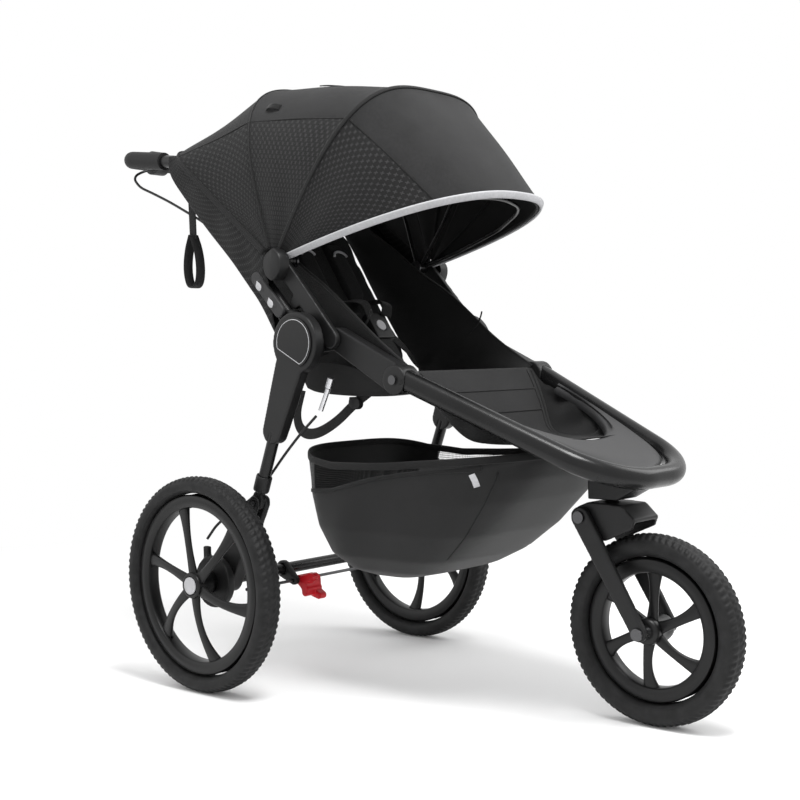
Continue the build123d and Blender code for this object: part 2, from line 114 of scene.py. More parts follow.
# %% A grid of points becomes a mesh
def surface(name, points, closed=(False, False), uv=None):
    """Joins grid point (i, j) to its neighbours (i+1, j) and (i, j+1). Without a given map, u and v
    are the lengths walked along the two grid directions."""
    points = np.asarray(points, float)
    rows, cols = points.shape[:2]
    i, j = np.arange(rows - 1 + closed[0]), np.arange(cols - 1 + closed[1])
    i, j = [a.ravel() for a in np.meshgrid(i, j, indexing="ij")]
    corners = np.stack([(i, j), (i + 1, j), (i + 1, j + 1), (i, j + 1)])
    index = (corners[:, 0] % rows) * cols + corners[:, 1] % cols
    if uv is None:
        wrapped = np.concatenate([points, points[:1]]) if closed[0] else points
        wrapped = np.concatenate([wrapped, wrapped[:, :1]], 1) if closed[1] else wrapped
        along = np.linalg.norm(np.diff(wrapped, axis=0), axis=2).max(axis=1)
        across = np.linalg.norm(np.diff(wrapped, axis=1), axis=2).max(axis=0)
        u = np.concatenate([[0], np.cumsum(along)])
        v = np.concatenate([[0], np.cumsum(across)])
        uv = np.stack(np.meshgrid(u, v, indexing="ij"), 2)
    mesh = bpy.data.meshes.new(name)
    mesh.from_pydata(points.reshape(-1, 3), [], index.T.tolist())
    layer = mesh.uv_layers.new(name="UVMap")
    layer.data.foreach_set("uv", np.asarray(uv)[corners[:, 0].T, corners[:, 1].T].ravel())
    mesh.shade_smooth()
    piece = bpy.data.objects.new(name, mesh)
    bpy.context.collection.objects.link(piece)
    return piece


def mesh_points(piece):
    """The vertices as one array."""
    flat = np.zeros(len(piece.data.vertices) * 3)
    piece.data.vertices.foreach_get("co", flat)
    return flat.reshape(-1, 3)


def set_points(piece, points):
    piece.data.vertices.foreach_set("co", np.asarray(points, float).ravel())
    piece.data.update()


def apply_modifiers(piece):
    """Replaces the mesh by what its modifiers show."""
    bpy.context.view_layer.update()
    shown = piece.evaluated_get(bpy.context.evaluated_depsgraph_get())
    mesh = bpy.data.meshes.new_from_object(shown)
    piece.modifiers.clear()
    piece.data = mesh
    return piece


def thicken(piece, thickness, offset=-1.0, levels=0):
    """Solidify gives a sheet two faces and a rim; subdivision then rounds it."""
    wall = piece.modifiers.new("wall", "SOLIDIFY")
    wall.thickness, wall.offset = thickness, offset
    if levels:
        smooth = piece.modifiers.new("smooth", "SUBSURF")
        smooth.levels = smooth.render_levels = levels
    return apply_modifiers(piece)


def face_out(piece):
    """Merges doubles and turns every face outwards."""
    work = bmesh.new()
    work.from_mesh(piece.data)
    bmesh.ops.remove_doubles(work, verts=work.verts, dist=1e-5)
    bmesh.ops.recalc_face_normals(work, faces=work.faces)
    work.to_mesh(piece.data)
    work.free()
    return piece


def join(name, pieces):
    """Several pieces made one, with the first one's materials."""
    for piece in bpy.context.view_layer.objects:
        piece.select_set(False)
    for piece in pieces:
        piece.select_set(True)
    bpy.context.view_layer.objects.active = pieces[0]
    bpy.ops.object.join()
    pieces[0].name = name
    return pieces[0]


# %% [markdown]
# ## Carrying a profile along a path
# A strap, a piping or a cable is one small outline carried along a line. The line is a list of
# corners whose turns are rounded by blending, and the outline turns with it as little as it can.


# %% Paths and sweeps
def smooth_path(corners, count=64, rounds=3):
    """Cuts each corner at a quarter and three quarters of its runs, a few times over, then spaces
    the points evenly. The line keeps its two ends."""
    points = np.asarray(corners, float)
    for _ in range(rounds):
        inner = np.stack([points[:-1] * 0.75 + points[1:] * 0.25, points[:-1] * 0.25 + points[1:] * 0.75], 1)
        points = np.concatenate([points[:1], inner.reshape(-1, points.shape[1]), points[-1:]])
    steps = np.concatenate([[0], np.cumsum(np.linalg.norm(np.diff(points, axis=0), axis=1))])
    even = np.linspace(0, steps[-1], count)
    return np.stack([np.interp(even, steps, axis) for axis in points.T], 1)


def unit(vectors):
    vectors = np.asarray(vectors, float)
    return vectors / np.maximum(np.linalg.norm(vectors, axis=-1, keepdims=True), 1e-12)


def sweep(name, path, outline, face, scale=None, closed=False):
    """Carries a closed outline of (across, out) offsets along a path. face is the direction, one or
    one for each point, that the outline's out side looks in."""
    path = np.asarray(path, float)
    tangent = np.gradient(path, axis=0)
    if closed:
        tangent = np.roll(path, -1, 0) - np.roll(path, 1, 0)
    tangent = unit(tangent)
    face = np.broadcast_to(np.asarray(face, float), path.shape)
    out = unit(face - tangent * (face * tangent).sum(1, keepdims=True))
    across = np.cross(tangent, out)
    size = np.ones(len(path)) if scale is None else np.asarray(scale)
    grid = (path[:, None] + across[:, None] * (outline[None, :, :1] * size[:, None, None])
            + out[:, None] * (outline[None, :, 1:] * size[:, None, None]))
    piece = surface(name, grid, (closed, True))
    if not closed:
        cap_ends(piece, len(path), len(outline))
    return face_out(piece)


def cap_ends(piece, rows, cols):
    """Closes a swept tube with one face at each end."""
    work = bmesh.new()
    work.from_mesh(piece.data)
    work.verts.ensure_lookup_table()
    work.faces.new([work.verts[k] for k in range(cols)])
    work.faces.new([work.verts[(rows - 1) * cols + k] for k in reversed(range(cols))])
    work.to_mesh(piece.data)
    work.free()


def oval(width, depth, count=16, square=2.0):
    """Superellipse outline; a higher power is squarer."""
    t = np.linspace(0, 2 * pi, count, endpoint=False)
    c, s = np.cos(t), np.sin(t)
    power = 2 / square
    return np.stack([np.sign(c) * np.abs(c) ** power * width / 2,
                     np.sign(s) * np.abs(s) ** power * depth / 2], 1)


def strap(name, corners, width, face, thickness=0.0022, count=48):
    """Flat webbing: a squared oval carried along its path."""
    return sweep(name, smooth_path(corners, count), oval(width, thickness, 20, 5), face)


# %% [markdown]
# ## Materials
# A small set of builders gives each finish its colour, its grain and its gloss. Plastic has a fine
# grain in its height and roughness. Cloth is a weave of two sets of threads over the UV map.


# %% Material helpers
def new_material(name, color, roughness, metallic=0.0, specular=0.28):
    material = bpy.data.materials.new(name)
    material.use_nodes = True
    shader = material.node_tree.nodes["Principled BSDF"]
    shader.inputs["Base Color"].default_value = (*color, 1)
    shader.inputs["Roughness"].default_value = roughness
    shader.inputs["Metallic"].default_value = metallic
    shader.inputs["Specular IOR Level"].default_value = specular
    return material, material.node_tree, shader


def add(tree, kind, **values):
    """A node with its settings and plain input values; a link is given as a socket."""
    node = tree.nodes.new(kind)
    for key, value in values.items():
        if hasattr(node, key) and key not in node.inputs:
            setattr(node, key, value)
            continue
        socket = node.inputs[int(key[1:])] if key[0] == "i" and key[1:].isdigit() else node.inputs[key]
        if isinstance(value, bpy.types.NodeSocket):
            tree.links.new(value, socket)
        else:
            socket.default_value = value
    return node


def math(tree, operation, a, b=0.0):
    return add(tree, "ShaderNodeMath", operation=operation, i0=a, i1=b).outputs[0]


def noise(tree, source, scale, detail=3.0):
    return add(tree, "ShaderNodeTexNoise", Vector=source, Scale=scale, Detail=detail).outputs["Fac"]


def ramp(tree, value, low, high, dark, light):
    """Maps a value between two limits onto a run between two colours."""
    node = tree.nodes.new("ShaderNodeValToRGB")
    node.color_ramp.elements[0].position, node.color_ramp.elements[1].position = low, high
    node.color_ramp.elements[0].color = (*dark, 1)
    node.color_ramp.elements[1].color = (*light, 1)
    tree.links.new(value, node.inputs[0])
    return node.outputs[0]


def bump(tree, shader, height, strength, distance):
    node = add(tree, "ShaderNodeBump", Strength=strength, Distance=distance, Height=height)
    tree.links.new(node.outputs[0], shader.inputs["Normal"])


def grey(value):
    return (value, value, value * 1.03)


# %% Plastic, paint, metal and rubber
def plastic(name, value, roughness, grain=1400.0, depth=0.15, color=None):
    """Moulded plastic: a fine grain, and broad soft changes of gloss and tone."""
    base = np.array(color or grey(value))
    material, tree, shader = new_material(name, base, roughness)
    place = add(tree, "ShaderNodeTexCoord").outputs["Object"]
    broad = noise(tree, place, 22.0, 4.0)
    tree.links.new(ramp(tree, broad, 0.3, 0.7, base * 0.82, base * 1.18), shader.inputs["Base Color"])
    fine = noise(tree, place, grain, 2.0)
    gloss = math(tree, "MULTIPLY_ADD", broad, 0.14)
    gloss.node.inputs[2].default_value = roughness - 0.07
    tree.links.new(gloss, shader.inputs["Roughness"])
    bump(tree, shader, fine, depth, 0.0004)
    return material


def metal(name, value, roughness):
    """Plated metal with a drawn grain."""
    material, tree, shader = new_material(name, grey(value), roughness, 1.0)
    place = add(tree, "ShaderNodeTexCoord").outputs["Object"]
    grain = noise(tree, place, 400.0, 5.0)
    tree.links.new(ramp(tree, grain, 0.25, 0.75, (roughness * 0.7,) * 3, (roughness * 1.3,) * 3),
                   shader.inputs["Roughness"])
    bump(tree, shader, grain, 0.05, 0.0002)
    return material


def rubber():
    """Tyre rubber: matt, a little dusty, with a fine pebble."""
    material, tree, shader = new_material("tyre_rubber", grey(0.006), 0.62)
    place = add(tree, "ShaderNodeTexCoord").outputs["Object"]
    dust = noise(tree, place, 60.0, 6.0)
    tree.links.new(ramp(tree, dust, 0.35, 0.75, grey(0.005), grey(0.013)), shader.inputs["Base Color"])
    bump(tree, shader, noise(tree, place, 1600.0, 2.0), 0.25, 0.0004)
    return material


FRAME_BLACK = plastic("frame_black", 0.006, 0.27, 900.0, 0.05)
MOULDED = plastic("moulded_black", 0.0085, 0.44, 1500.0, 0.16)
MOULDED_GREY = plastic("moulded_grey", 0.026, 0.46, 1700.0, 0.22)
RIM_BLACK = plastic("rim_black", 0.005, 0.36, 1300.0, 0.08)
GRIP = plastic("grip_rubber", 0.008, 0.58, 700.0, 0.5)
CABLE_BLACK = plastic("cable_black", 0.012, 0.35, 900.0, 0.05)
BADGE = plastic("badge_black", 0.004, 0.22, 800.0, 0.02)
# Light grey silver for the buttons, marks and buckle button; on the adjuster hoops the same light grey is a
# painted reflection on dark plastic.
SILVER_AND_PAINTED_REFLECTION = plastic("button_silver", 0.42, 0.40, 1500.0, 0.08)
RED = plastic("pedal_red", 0.0, 0.30, 900.0, 0.05, color=(0.50, 0.008, 0.016))
STEEL = metal("bright_metal", 0.62, 0.28)
DARK_STEEL = metal("axle_metal", 0.10, 0.34)
TYRE = rubber()


# %% Cloth
def cloth(name, value, pitch=0.0009, depth=0.5, sheen=0.06, tone=0.3, pattern=None, rough=0.85):
    """Plain weave: warp and weft are two sine waves a quarter turn apart, so that one thread stands
    up where the other dips. A pattern adds a second, lighter set of marks."""
    base = np.array(grey(value))
    material, tree, shader = new_material(name, base, rough)
    shader.inputs["Sheen Weight"].default_value = sheen
    shader.inputs["Sheen Roughness"].default_value = 0.45
    uv = add(tree, "ShaderNodeUVMap").outputs[0]
    split = add(tree, "ShaderNodeSeparateXYZ", Vector=uv)
    u, v = split.outputs[0], split.outputs[1]
    turn = 2 * pi / pitch
    warp = math(tree, "SINE", math(tree, "MULTIPLY", u, turn))
    weft = math(tree, "SINE", math(tree, "MULTIPLY", v, turn))
    weave = math(tree, "MULTIPLY_ADD", math(tree, "MULTIPLY", warp, weft), 0.5)
    weave.node.inputs[2].default_value = 0.5
    place = add(tree, "ShaderNodeTexCoord").outputs["Object"]
    shade = noise(tree, place, 14.0, 5.0)
    slub = noise(tree, place, 260.0, 3.0)
    mixed = math(tree, "ADD", math(tree, "MULTIPLY", shade, 0.55), math(tree, "MULTIPLY", slub, 0.45))
    color = ramp(tree, mixed, 0.35, 0.65, base * (1 - tone), base * (1 + tone))
    if pattern:
        color = pattern(tree, u, v, color, base)
    tree.links.new(color, shader.inputs["Base Color"])
    bump(tree, shader, math(tree, "ADD", weave, math(tree, "MULTIPLY", slub, 0.6)), depth, 0.0005)
    return material


def diamond_marks(tree, u, v, color, base, pitch=0.0185):
    """A lattice of two crossing sets of fine dashes: a dash shows where one diagonal's wave is near
    its top and the other's isn't."""
    along = math(tree, "MULTIPLY", math(tree, "ADD", u, v), pi / pitch)
    across = math(tree, "MULTIPLY", math(tree, "SUBTRACT", u, v), pi / pitch)
    masks = []
    for line, other in ((along, across), (across, along)):
        thin = math(tree, "GREATER_THAN", math(tree, "ABSOLUTE", math(tree, "COSINE", line)), 0.972)
        dash = math(tree, "GREATER_THAN", math(tree, "ABSOLUTE", math(tree, "COSINE", other)), 0.55)
        masks.append(math(tree, "MULTIPLY", thin, dash))
    mask = math(tree, "MAXIMUM", *masks)
    mix = add(tree, "ShaderNodeMix", data_type="RGBA")
    tree.links.new(mask, mix.inputs[0])
    tree.links.new(color, mix.inputs[6])
    mix.inputs[7].default_value = (*(base * 2.6 + 0.016), 1)
    return mix.outputs[2]


CANOPY_TOP = cloth("canopy_cloth", 0.0125, 0.0010)
CANOPY_SIDE = cloth("canopy_side_cloth", 0.0055, 0.0010, pattern=diamond_marks)
LINING = cloth("canopy_lining", 0.003, 0.0008, 0.3, 0.05)
SEAT = cloth("seat_cloth", 0.0060, 0.0011, 0.6)
SEAT_LIGHT = cloth("calf_panel_cloth", 0.0095, 0.0011, 0.6)
BASKET = cloth("basket_cloth", 0.0042, 0.0008, 0.3, 0.15, rough=0.7)
WEBBING = cloth("webbing", 0.006, 0.0016, 0.9, 0.1)
BINDING = cloth("binding", 0.0035, 0.0009, 0.5, 0.1)
PIPING = cloth("reflective_piping", 0.42, 0.0007, 0.25, 0.0, 0.12, rough=0.5)

# %% [markdown]
# ## Mouldings with soft edges
# A moulded part has no knife edges. A copy of the CAD node is merged, rebuilt as even small faces
# by voxel remeshing, and relaxed a few times, so every edge takes a radius of a few millimetres.
# The CAD node itself stays untouched, and the copy stands for it.


# %% Rounded copies and finishes for the CAD nodes
def moulded(node, body, material, voxel=0.0022, rounds=6, also=()):
    """Voxel remesh, then each vertex moves half way to its neighbours' mean, several times."""
    mesh = frame["nodes"][node].data.copy()
    piece = bpy.data.objects.new(f"{node}_moulding", mesh)
    bpy.context.collection.objects.link(piece)
    mesh.materials.clear()
    work = bmesh.new()
    work.from_mesh(mesh)
    bmesh.ops.remove_doubles(work, verts=work.verts, dist=1e-5)
    work.to_mesh(mesh)
    work.free()
    remesh = piece.modifiers.new("even", "REMESH")
    remesh.mode, remesh.voxel_size = "VOXEL", voxel
    relax = piece.modifiers.new("relax", "SMOOTH")
    relax.factor, relax.iterations = 0.5, rounds
    apply_modifiers(piece)
    piece.data.shade_smooth()
    piece.data.materials.append(material)
    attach(piece, body)
    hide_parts(node, *also)
    return piece


def finish_node(node, material):
    """A CAD node that stays gets a better material in its slots."""
    mesh = frame["nodes"][node].data
    mesh.materials.clear()
    mesh.materials.append(material)


MOULDINGS = {
    "side_castings": ("front_frame", MOULDED), "steering_head": ("front_frame", MOULDED),
    "hinge_cores": ("handle", MOULDED), "upper_arms": ("handle", MOULDED),
    "brake_lever_housing": ("handle", MOULDED), "brake_lever": ("brake_lever_body", MOULDED),
    "leg_housings": ("rear_legs", MOULDED), "leg_sleeves": ("rear_legs", MOULDED),
    "axle_brackets": ("rear_axle", MOULDED), "brake_plates": ("rear_axle", MOULDED),
    "swivel_housing": ("swivel", MOULDED), "fork_arms": ("fork", MOULDED),
    "canopy_rails": ("handle", MOULDED_GREY), "nose_plate": ("front_frame", MOULDED_GREY),
    "brake_pedal": ("brake_pedal_body", RED), "chest_clip": ("seat_back_body", MOULDED),
}
SMALL = {"canopy_rails", "brake_pedal", "chest_clip", "brake_lever", "brake_lever_housing"}
for node, (body, material) in MOULDINGS.items():
    moulded(node, body, material, 0.0013 if node in SMALL else 0.0021)

FINISHES = {
    "front_loop_tube": FRAME_BLACK, "handle_tube": FRAME_BLACK, "leg_tubes": FRAME_BLACK,
    "axle_tube": FRAME_BLACK, "canopy_rear_bow": FRAME_BLACK, "canopy_mid_bow": FRAME_BLACK,
    "canopy_front_bow": FRAME_BLACK, "handle_grip": GRIP, "casting_bolts": DARK_STEEL,
    "hinge_pins": DARK_STEEL, "suspension_pins": DARK_STEEL, "stub_axles": STEEL,
    "brake_rod": DARK_STEEL, "canopy_hubs": DARK_STEEL, "front_axle": STEEL,
    "fork_bolts": DARK_STEEL, "cable_adjuster": STEEL, "hub_button_left": SILVER_AND_PAINTED_REFLECTION,
    "hub_button_right": SILVER_AND_PAINTED_REFLECTION, "back_board": MOULDED,
}
for node, material in FINISHES.items():
    finish_node(node, material)
print("mouldings", len(MOULDINGS), "finished nodes", len(FINISHES))

# %% [markdown]
# ## Wheels
# A tyre is one outline turned about its axle. Its tread is worked into the same grid: knobs are
# where two waves, one round the tyre and one across it, are both high. A rim is a turned channel
# with six spokes, each an oval that runs from the hub to the channel along a gentle curve.


# %% Turned parts
def turned(name, profile, centre, count):
    """Carries (radius, across) points round an axle that lies along Y."""
    angle = np.linspace(0, 2 * pi, count, endpoint=False)
    radius, across = np.asarray(profile, float).T
    grid = np.stack([np.cos(angle)[:, None] * radius, np.broadcast_to(across, (count, len(radius))),
                     np.sin(angle)[:, None] * radius], 2)
    return surface(name, grid + centre, (True, True))


def tyre(side, node, body, centre, outer, inner, width, knobs):
    """Carcass: a superellipse from bead to bead. Tread: rows of slanted knobs over the crown and
    shoulders, 1.6 mm proud, with their rows half a knob out of step."""
    turns, around = knobs * 8, 56
    t = np.linspace(0, 2 * pi, around, endpoint=False)
    c, s = np.cos(t), np.sin(t)
    middle, reach = (outer + inner) / 2, (outer - inner) / 2 - 0.0018
    radius = middle + np.sign(c) * np.abs(c) ** 0.86 * reach
    across = np.sign(s) * np.abs(s) ** 0.9 * width / 2
    angle = np.linspace(0, 2 * pi, turns, endpoint=False)[:, None]
    lane = across / (width / 2)
    wave = np.sin(angle * knobs + 5.0 * np.abs(lane) + pi * (lane > 0))
    rows = 0.35 + np.cos(lane * 3.2 * pi)
    tread = np.clip((c - 0.05) * 3.2, 0, 1)
    knob = np.clip(wave * 2.2 + 0.6, 0, 1) * np.clip(rows * 2.5 + 0.9, 0, 1) * tread * 0.0017
    ribs = (np.abs(np.abs(c + 0.45) - 0.1) < 0.045) * 0.0006
    lift = knob + ribs * (1 - tread)
    out = np.stack([c, s], 1) / np.maximum(np.hypot(c, s), 1e-9)[:, None]
    r = radius + lift * out[:, 0]
    y = np.broadcast_to(across, r.shape) + lift * out[:, 1]
    grid = np.stack([np.cos(angle) * r, y, np.sin(angle) * r], 2) + centre
    piece = face_out(surface(f"{side}_tyre_tread", grid, (True, True)))
    piece.data.materials.append(TYRE)
    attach(piece, body)
    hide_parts(node)


def rim(side, node, body, centre, sign, channel, half, hub, reach, dish, sweep_angle, first):
    """Channel, hub and spokes. channel is (inner, outer) radius; hub a profile; reach is the
    outward place of the spokes at the hub and at the channel."""
    inner, outer = channel
    lip = 0.006
    ring = [(inner, -half + 0.004), (inner + 0.003, -half), (outer - 0.003, -half), (outer, -half + 0.003),
            (outer - 0.004, -half + lip), (inner + 0.012, 0), (outer - 0.004, half - lip),
            (outer, half - 0.003), (outer - 0.003, half), (inner + 0.003, half), (inner, half - 0.004)]
    parts = [turned("channel", np.array(ring) * (1, 1), centre, 160)]
    parts.append(turned("hub", hub, centre, 64))
    for k in range(6):
        start, steps = first + k * pi / 3, np.linspace(0, 1, 26)
        angle = start + sweep_angle * steps ** 1.4
        radius = hub[0][0] * 0.75 + (inner + 0.004 - hub[0][0] * 0.75) * steps
        place = reach[0] + (reach[1] - reach[0]) * steps ** 1.8 + dish * np.sin(pi * steps)
        path = np.stack([np.cos(angle) * radius, sign * place, np.sin(angle) * radius], 1) + centre
        width = 1.0 - 0.34 * np.sin(pi * np.clip(steps * 0.92 + 0.08, 0, 1)) + 0.25 * steps ** 6
        parts.append(sweep("spoke", path, oval(0.024, 0.012, 16, 2.6), (0, sign, 0), width))
    for part in parts[:2]:
        face_out(part)
    piece = join(f"{side}_wheel_rim", parts)
    piece.data.materials.clear()
    piece.data.materials.append(RIM_BLACK)
    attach(piece, body)
    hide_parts(node)


REAR_HUB = [(0.0225, 0.322), (0.0165, 0.3225), (0.0160, 0.3140), (0.0065, 0.3135), (0.0062, 0.2752),
            (0.0200, 0.2750), (0.0210, 0.2850), (0.0180, 0.2950), (0.0235, 0.3060), (0.0240, 0.3190)]
for side, sign in (("left", 1), ("right", -1)):
    centre = np.array(JOINTS[f"rear_wheel_{side}_spin"]["pos_m"])
    hub = [(r, sign * y - centre[1]) for r, y in REAR_HUB]
    tyre(f"rear_{side}", f"rear_tyre_{side}", f"rear_wheel_{side}", centre, 0.1985, 0.1655, 0.0465, 96)
    rim(f"rear_{side}", f"rear_rim_{side}", f"rear_wheel_{side}", centre, sign, (0.141, 0.1655), 0.0145,
        hub, (0.0145, 0.002), 0.004, -0.16 * sign, radians(97))

FRONT_HUB = [(0.0200, 0.0290), (0.0062, 0.0300), (0.0062, -0.0300), (0.0200, -0.0290), (0.0225, -0.0200),
             (0.0200, -0.0100), (0.0200, 0.0100), (0.0225, 0.0200)]
tyre("front", "front_tyre", "front_wheel", FRONT_AXLE, 0.1555, 0.1162, 0.0510, 80)
rim("front", "front_rim", "front_wheel", FRONT_AXLE, -1, (0.0925, 0.1165), 0.0145, FRONT_HUB,
    (0.010, 0.003), 0.003, 0.12, radians(80))
print("wheels made")

# %% [markdown]
# ## Canopy
# The cover is stretched over three bows. Each arch is a superellipse in a plane through the pivot:
# power 12 at the rear, where the cloth turns sharply over the handle tubes, and 2.5 at the front.
# Between two bows tight cloth runs almost straight, so a point there is a mix of the same share of
# the two arches, and it crowns or sags by a few millimetres.

# %% The family of arches
#         elevation, half-width, height, squareness
ARCHES = [(141, 0.2265, 0.367, 12), (107, 0.2235, 0.356, 3.4), (56, 0.215, 0.360, 3.3),
          (13, 0.203, 0.400, 2.5)]
REAR_EDGE, REAR_BOW, MID_BOW, FRONT_RIM = [arch[0] for arch in ARCHES]
FOOT = 0.020
CROWN = [(REAR_BOW, REAR_EDGE, -0.004), (MID_BOW, REAR_BOW, 0.005), (FRONT_RIM, MID_BOW, 0.004)]


def arch_table(half, height, power):
    """Share of the arch's length, distance across and distance from the pivot, at many places."""
    t = np.linspace(0, pi, 4001)
    across = np.sign(np.cos(t)) * np.abs(np.cos(t)) ** (2 / power) * half
    up = np.abs(np.sin(t)) ** (2 / power) * (height - FOOT) + FOOT
    run = np.concatenate([[0], np.cumsum(np.hypot(np.diff(across), np.diff(up)))])
    return run / run[-1], across, up


TABLES = [arch_table(*arch[1:]) for arch in ARCHES]


def canopy_point(elevation, share, inset=0.0):
    """Point of the cover at an elevation and a share of the way from the left foot to the right."""
    elevation, share = np.broadcast_arrays(np.asarray(elevation, float), np.asarray(share, float))
    point, out = np.zeros(elevation.shape + (3,)), np.zeros(elevation.shape + (3,))
    angles = [arch[0] for arch in ARCHES][::-1]
    for k, ((angle, half, height, power), (places, across, up)) in enumerate(zip(ARCHES, TABLES)):
        near = np.interp(elevation, angles, [float(j == k) for j in range(len(ARCHES))][::-1])[..., None]
        a, u = np.interp(share, places, across)[..., None], np.interp(share, places, up)[..., None]
        ahead = np.array((cos(radians(angle)), 0, sin(radians(angle))))
        point += near * (CANOPY + u * ahead + a * np.array((0, 1, 0)))
        lean_a = np.sign(a) * np.abs(a / half) ** (power - 1) / half
        lean_u = np.abs(u / height) ** (power - 1) / height
        out += near * unit(lean_u * ahead + lean_a * np.array((0, 1, 0)))
    crown = -inset + np.zeros(elevation.shape)
    for low, high, rise in CROWN:
        crown += rise * np.sin(pi * np.clip((elevation - low) / (high - low), 0, 1)) ** 2 * np.sin(pi * share)
    return point + unit(out) * crown[..., None]


SHARE = np.linspace(0, 1, 141)


def wrinkle(elevation, share):
    """Soft folds that fan out from the pivot, strongest low on each side."""
    side = np.abs(np.cos(pi * share)) ** 3
    return 0.0013 * side * np.sin(np.radians(elevation) * 11 + 2.2 * np.sin(7 * share))


def canopy_sheet(name, low, high, rows, nodes, top_share, inset=0.0, lining=False):
    """One bay of the cover. Faces within top_share of the middle take the plain top cloth."""
    elevation = np.linspace(low, high, rows)[:, None]
    share = SHARE[None, :]
    grid = canopy_point(elevation + 0 * share, share + 0 * elevation, inset + wrinkle(elevation, share))
    piece = surface(name, grid)
    piece.data.materials.append(LINING if lining else CANOPY_SIDE)
    if not lining:
        piece.data.materials.append(CANOPY_TOP)
        middle = np.abs(SHARE[:-1] + 0.5 / (len(SHARE) - 1) - 0.5)
        limit = np.interp((np.arange(rows - 1) + 0.5) / (rows - 1), [0, 1], top_share)
        chosen = (middle[None, :] < limit[:, None]).astype(np.int32)
        piece.data.polygons.foreach_set("material_index", chosen.ravel())
    thicken(piece, 0.0014, 0.0)
    for node in nodes:
        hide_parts(node)
    return piece


SEAM_SHARE = {REAR_EDGE: 0.205, REAR_BOW: 0.235, MID_BOW: 0.220, FRONT_RIM: 0.170}
BAYS = [("back", REAR_BOW, REAR_EDGE, 24, "canopy_back_panel"),
        ("roof", MID_BOW, REAR_BOW, 36, "canopy_roof"),
        ("visor", FRONT_RIM, MID_BOW, 36, "canopy_visor")]
JOINED = {"back": ("handle", "canopy_carrier", REAR_EDGE, REAR_BOW),
          "roof": ("canopy_carrier", "canopy_mid", REAR_BOW, MID_BOW),
          "visor": ("canopy_mid", "canopy_front", MID_BOW, FRONT_RIM)}


def join_bay(piece, bay, margin=0.12):
    """Bakes the bay's placement into its mesh; the bay stays on no body and does not bend between its bows.
    """
    a, b, first, last = JOINED[bay]
    start = canopy_point(first + (last - first) * margin, 0.5)
    end = canopy_point(last - (last - first) * margin, 0.5)
    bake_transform(piece)


for bay, low, high, rows, node in BAYS:
    edges = (SEAM_SHARE[low], SEAM_SHARE[high])
    cover = canopy_sheet(f"canopy_{bay}_cover", low, high, rows, [node], edges)
    join_bay(cover, bay)
    inner = canopy_sheet(f"canopy_{bay}_lining", low, high, rows, [], edges, 0.0036, True)
    join_bay(inner, bay)

# %% [markdown]
# ## Side flaps of the canopy
# On the real stroller the cloth goes on behind the last bow and closes round the handle tubes. Each
# flap is a sheet from the rear edge down to a hem a little behind the tube, and it stays on the handle.

# %% Side flaps
FLAP_HEM = [(0.144, 0.655), (0.108, 0.711), (0.077, 0.744), (0.037, 0.788), (0.007, 0.817), (-0.037, 0.858),
            (-0.099, 0.922), (-0.136, 0.962), (-0.146, 0.984), (-0.143, 1.004)]
for side, sign, start in (("left", 1, 0.0), ("right", -1, 1.0)):
    corner = 0.5 + (0.5 - 0.300) * -sign
    edge = canopy_point(REAR_EDGE - 0.4, np.linspace(start, corner, 60))
    hem = smooth_path([(x, sign * 0.2268, z) for x, z in FLAP_HEM], 60)
    rows = np.linspace(0, 1, 22)[:, None, None]
    flat = edge[None] * (1 - rows) + hem[None] * rows
    flat[..., 1] += sign * 0.0014 * np.sin(pi * rows[..., 0]) * np.sin(np.linspace(0, 21, 60))
    tuck = [hem + np.array((-dx * 0.7, -sign * dy, -dx * 0.7)) for dx, dy in
            ((0.0030, 0.0020), (0.0045, 0.0060), (0.0045, 0.0110), (0.0030, 0.0170), (0.0, 0.0230))]
    flap = surface(f"canopy_flap_{side}", np.concatenate([flat, np.stack(tuck)]))
    flap.data.materials.append(CANOPY_SIDE)
    thicken(flap, 0.0014, 0.0)
    face_out(flap)
    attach(flap, "handle")

# %% [markdown]
# ## Edges and seams of the canopy
# The front rim is bound in light reflective tape and the bow seams in black tape. Each is a squared
# oval carried along one arch, so it follows the cloth.


# %% Bindings along the arches
def arch_frame(elevation, share, inset):
    """Points along the cover, the direction out of it and the direction towards its front."""
    path = canopy_point(elevation, share, inset)
    out = unit(canopy_point(elevation, share, inset - 0.01) - path)
    ahead = unit(canopy_point(elevation - 0.5, share, inset) - canopy_point(elevation + 0.5, share, inset))
    return path, out, ahead


def arch_band(name, elevation, width, depth, material, body, inset=-0.001, lean=0.0):
    """A tape along one arch. lean turns its face from outwards towards the front."""
    path, out, ahead = arch_frame(elevation, SHARE, inset)
    piece = sweep(name, path, oval(width, depth, 16, 3.5), unit(out + lean * ahead))
    piece.data.materials.append(material)
    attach(piece, body)
    return piece


arch_band("canopy_rim_tape", FRONT_RIM - 0.3, 0.0135, 0.0052, PIPING, "canopy_front", -0.0010, 0.9)
arch_band("canopy_rim_welt", FRONT_RIM - 1.4, 0.0060, 0.0060, BINDING, "canopy_front", 0.0065)
arch_band("canopy_mid_tape", MID_BOW, 0.0090, 0.0030, BINDING, "canopy_mid", -0.0014)
arch_band("canopy_rear_tape", REAR_BOW, 0.0050, 0.0022, BINDING, "canopy_carrier", -0.0010)
arch_band("canopy_hem_tape", REAR_EDGE, 0.0110, 0.0036, BINDING, "handle", -0.0006)
arch_band("canopy_rib_mid", 78, 0.0050, 0.0030, LINING, "canopy_carrier", 0.0060)
arch_band("canopy_rib_front", 34, 0.0050, 0.0030, LINING, "canopy_mid", 0.0060)


def seam(bay, low, high, count=60, width=0.0030):
    """A raised seam on each side of the plain top cloth, from one bow to the next."""
    elevation = np.linspace(high, low, count)
    off = np.linspace(SEAM_SHARE[high], SEAM_SHARE[low], count)
    for side, sign in (("left", -1), ("right", 1)):
        path, out, _ = arch_frame(elevation, 0.5 + sign * off, -0.0009)
        piece = sweep(f"canopy_{bay}_seam_{side}", path, oval(width, 0.0016, 12, 3), out)
        piece.data.materials.append(BINDING)
        join_bay(piece, bay)


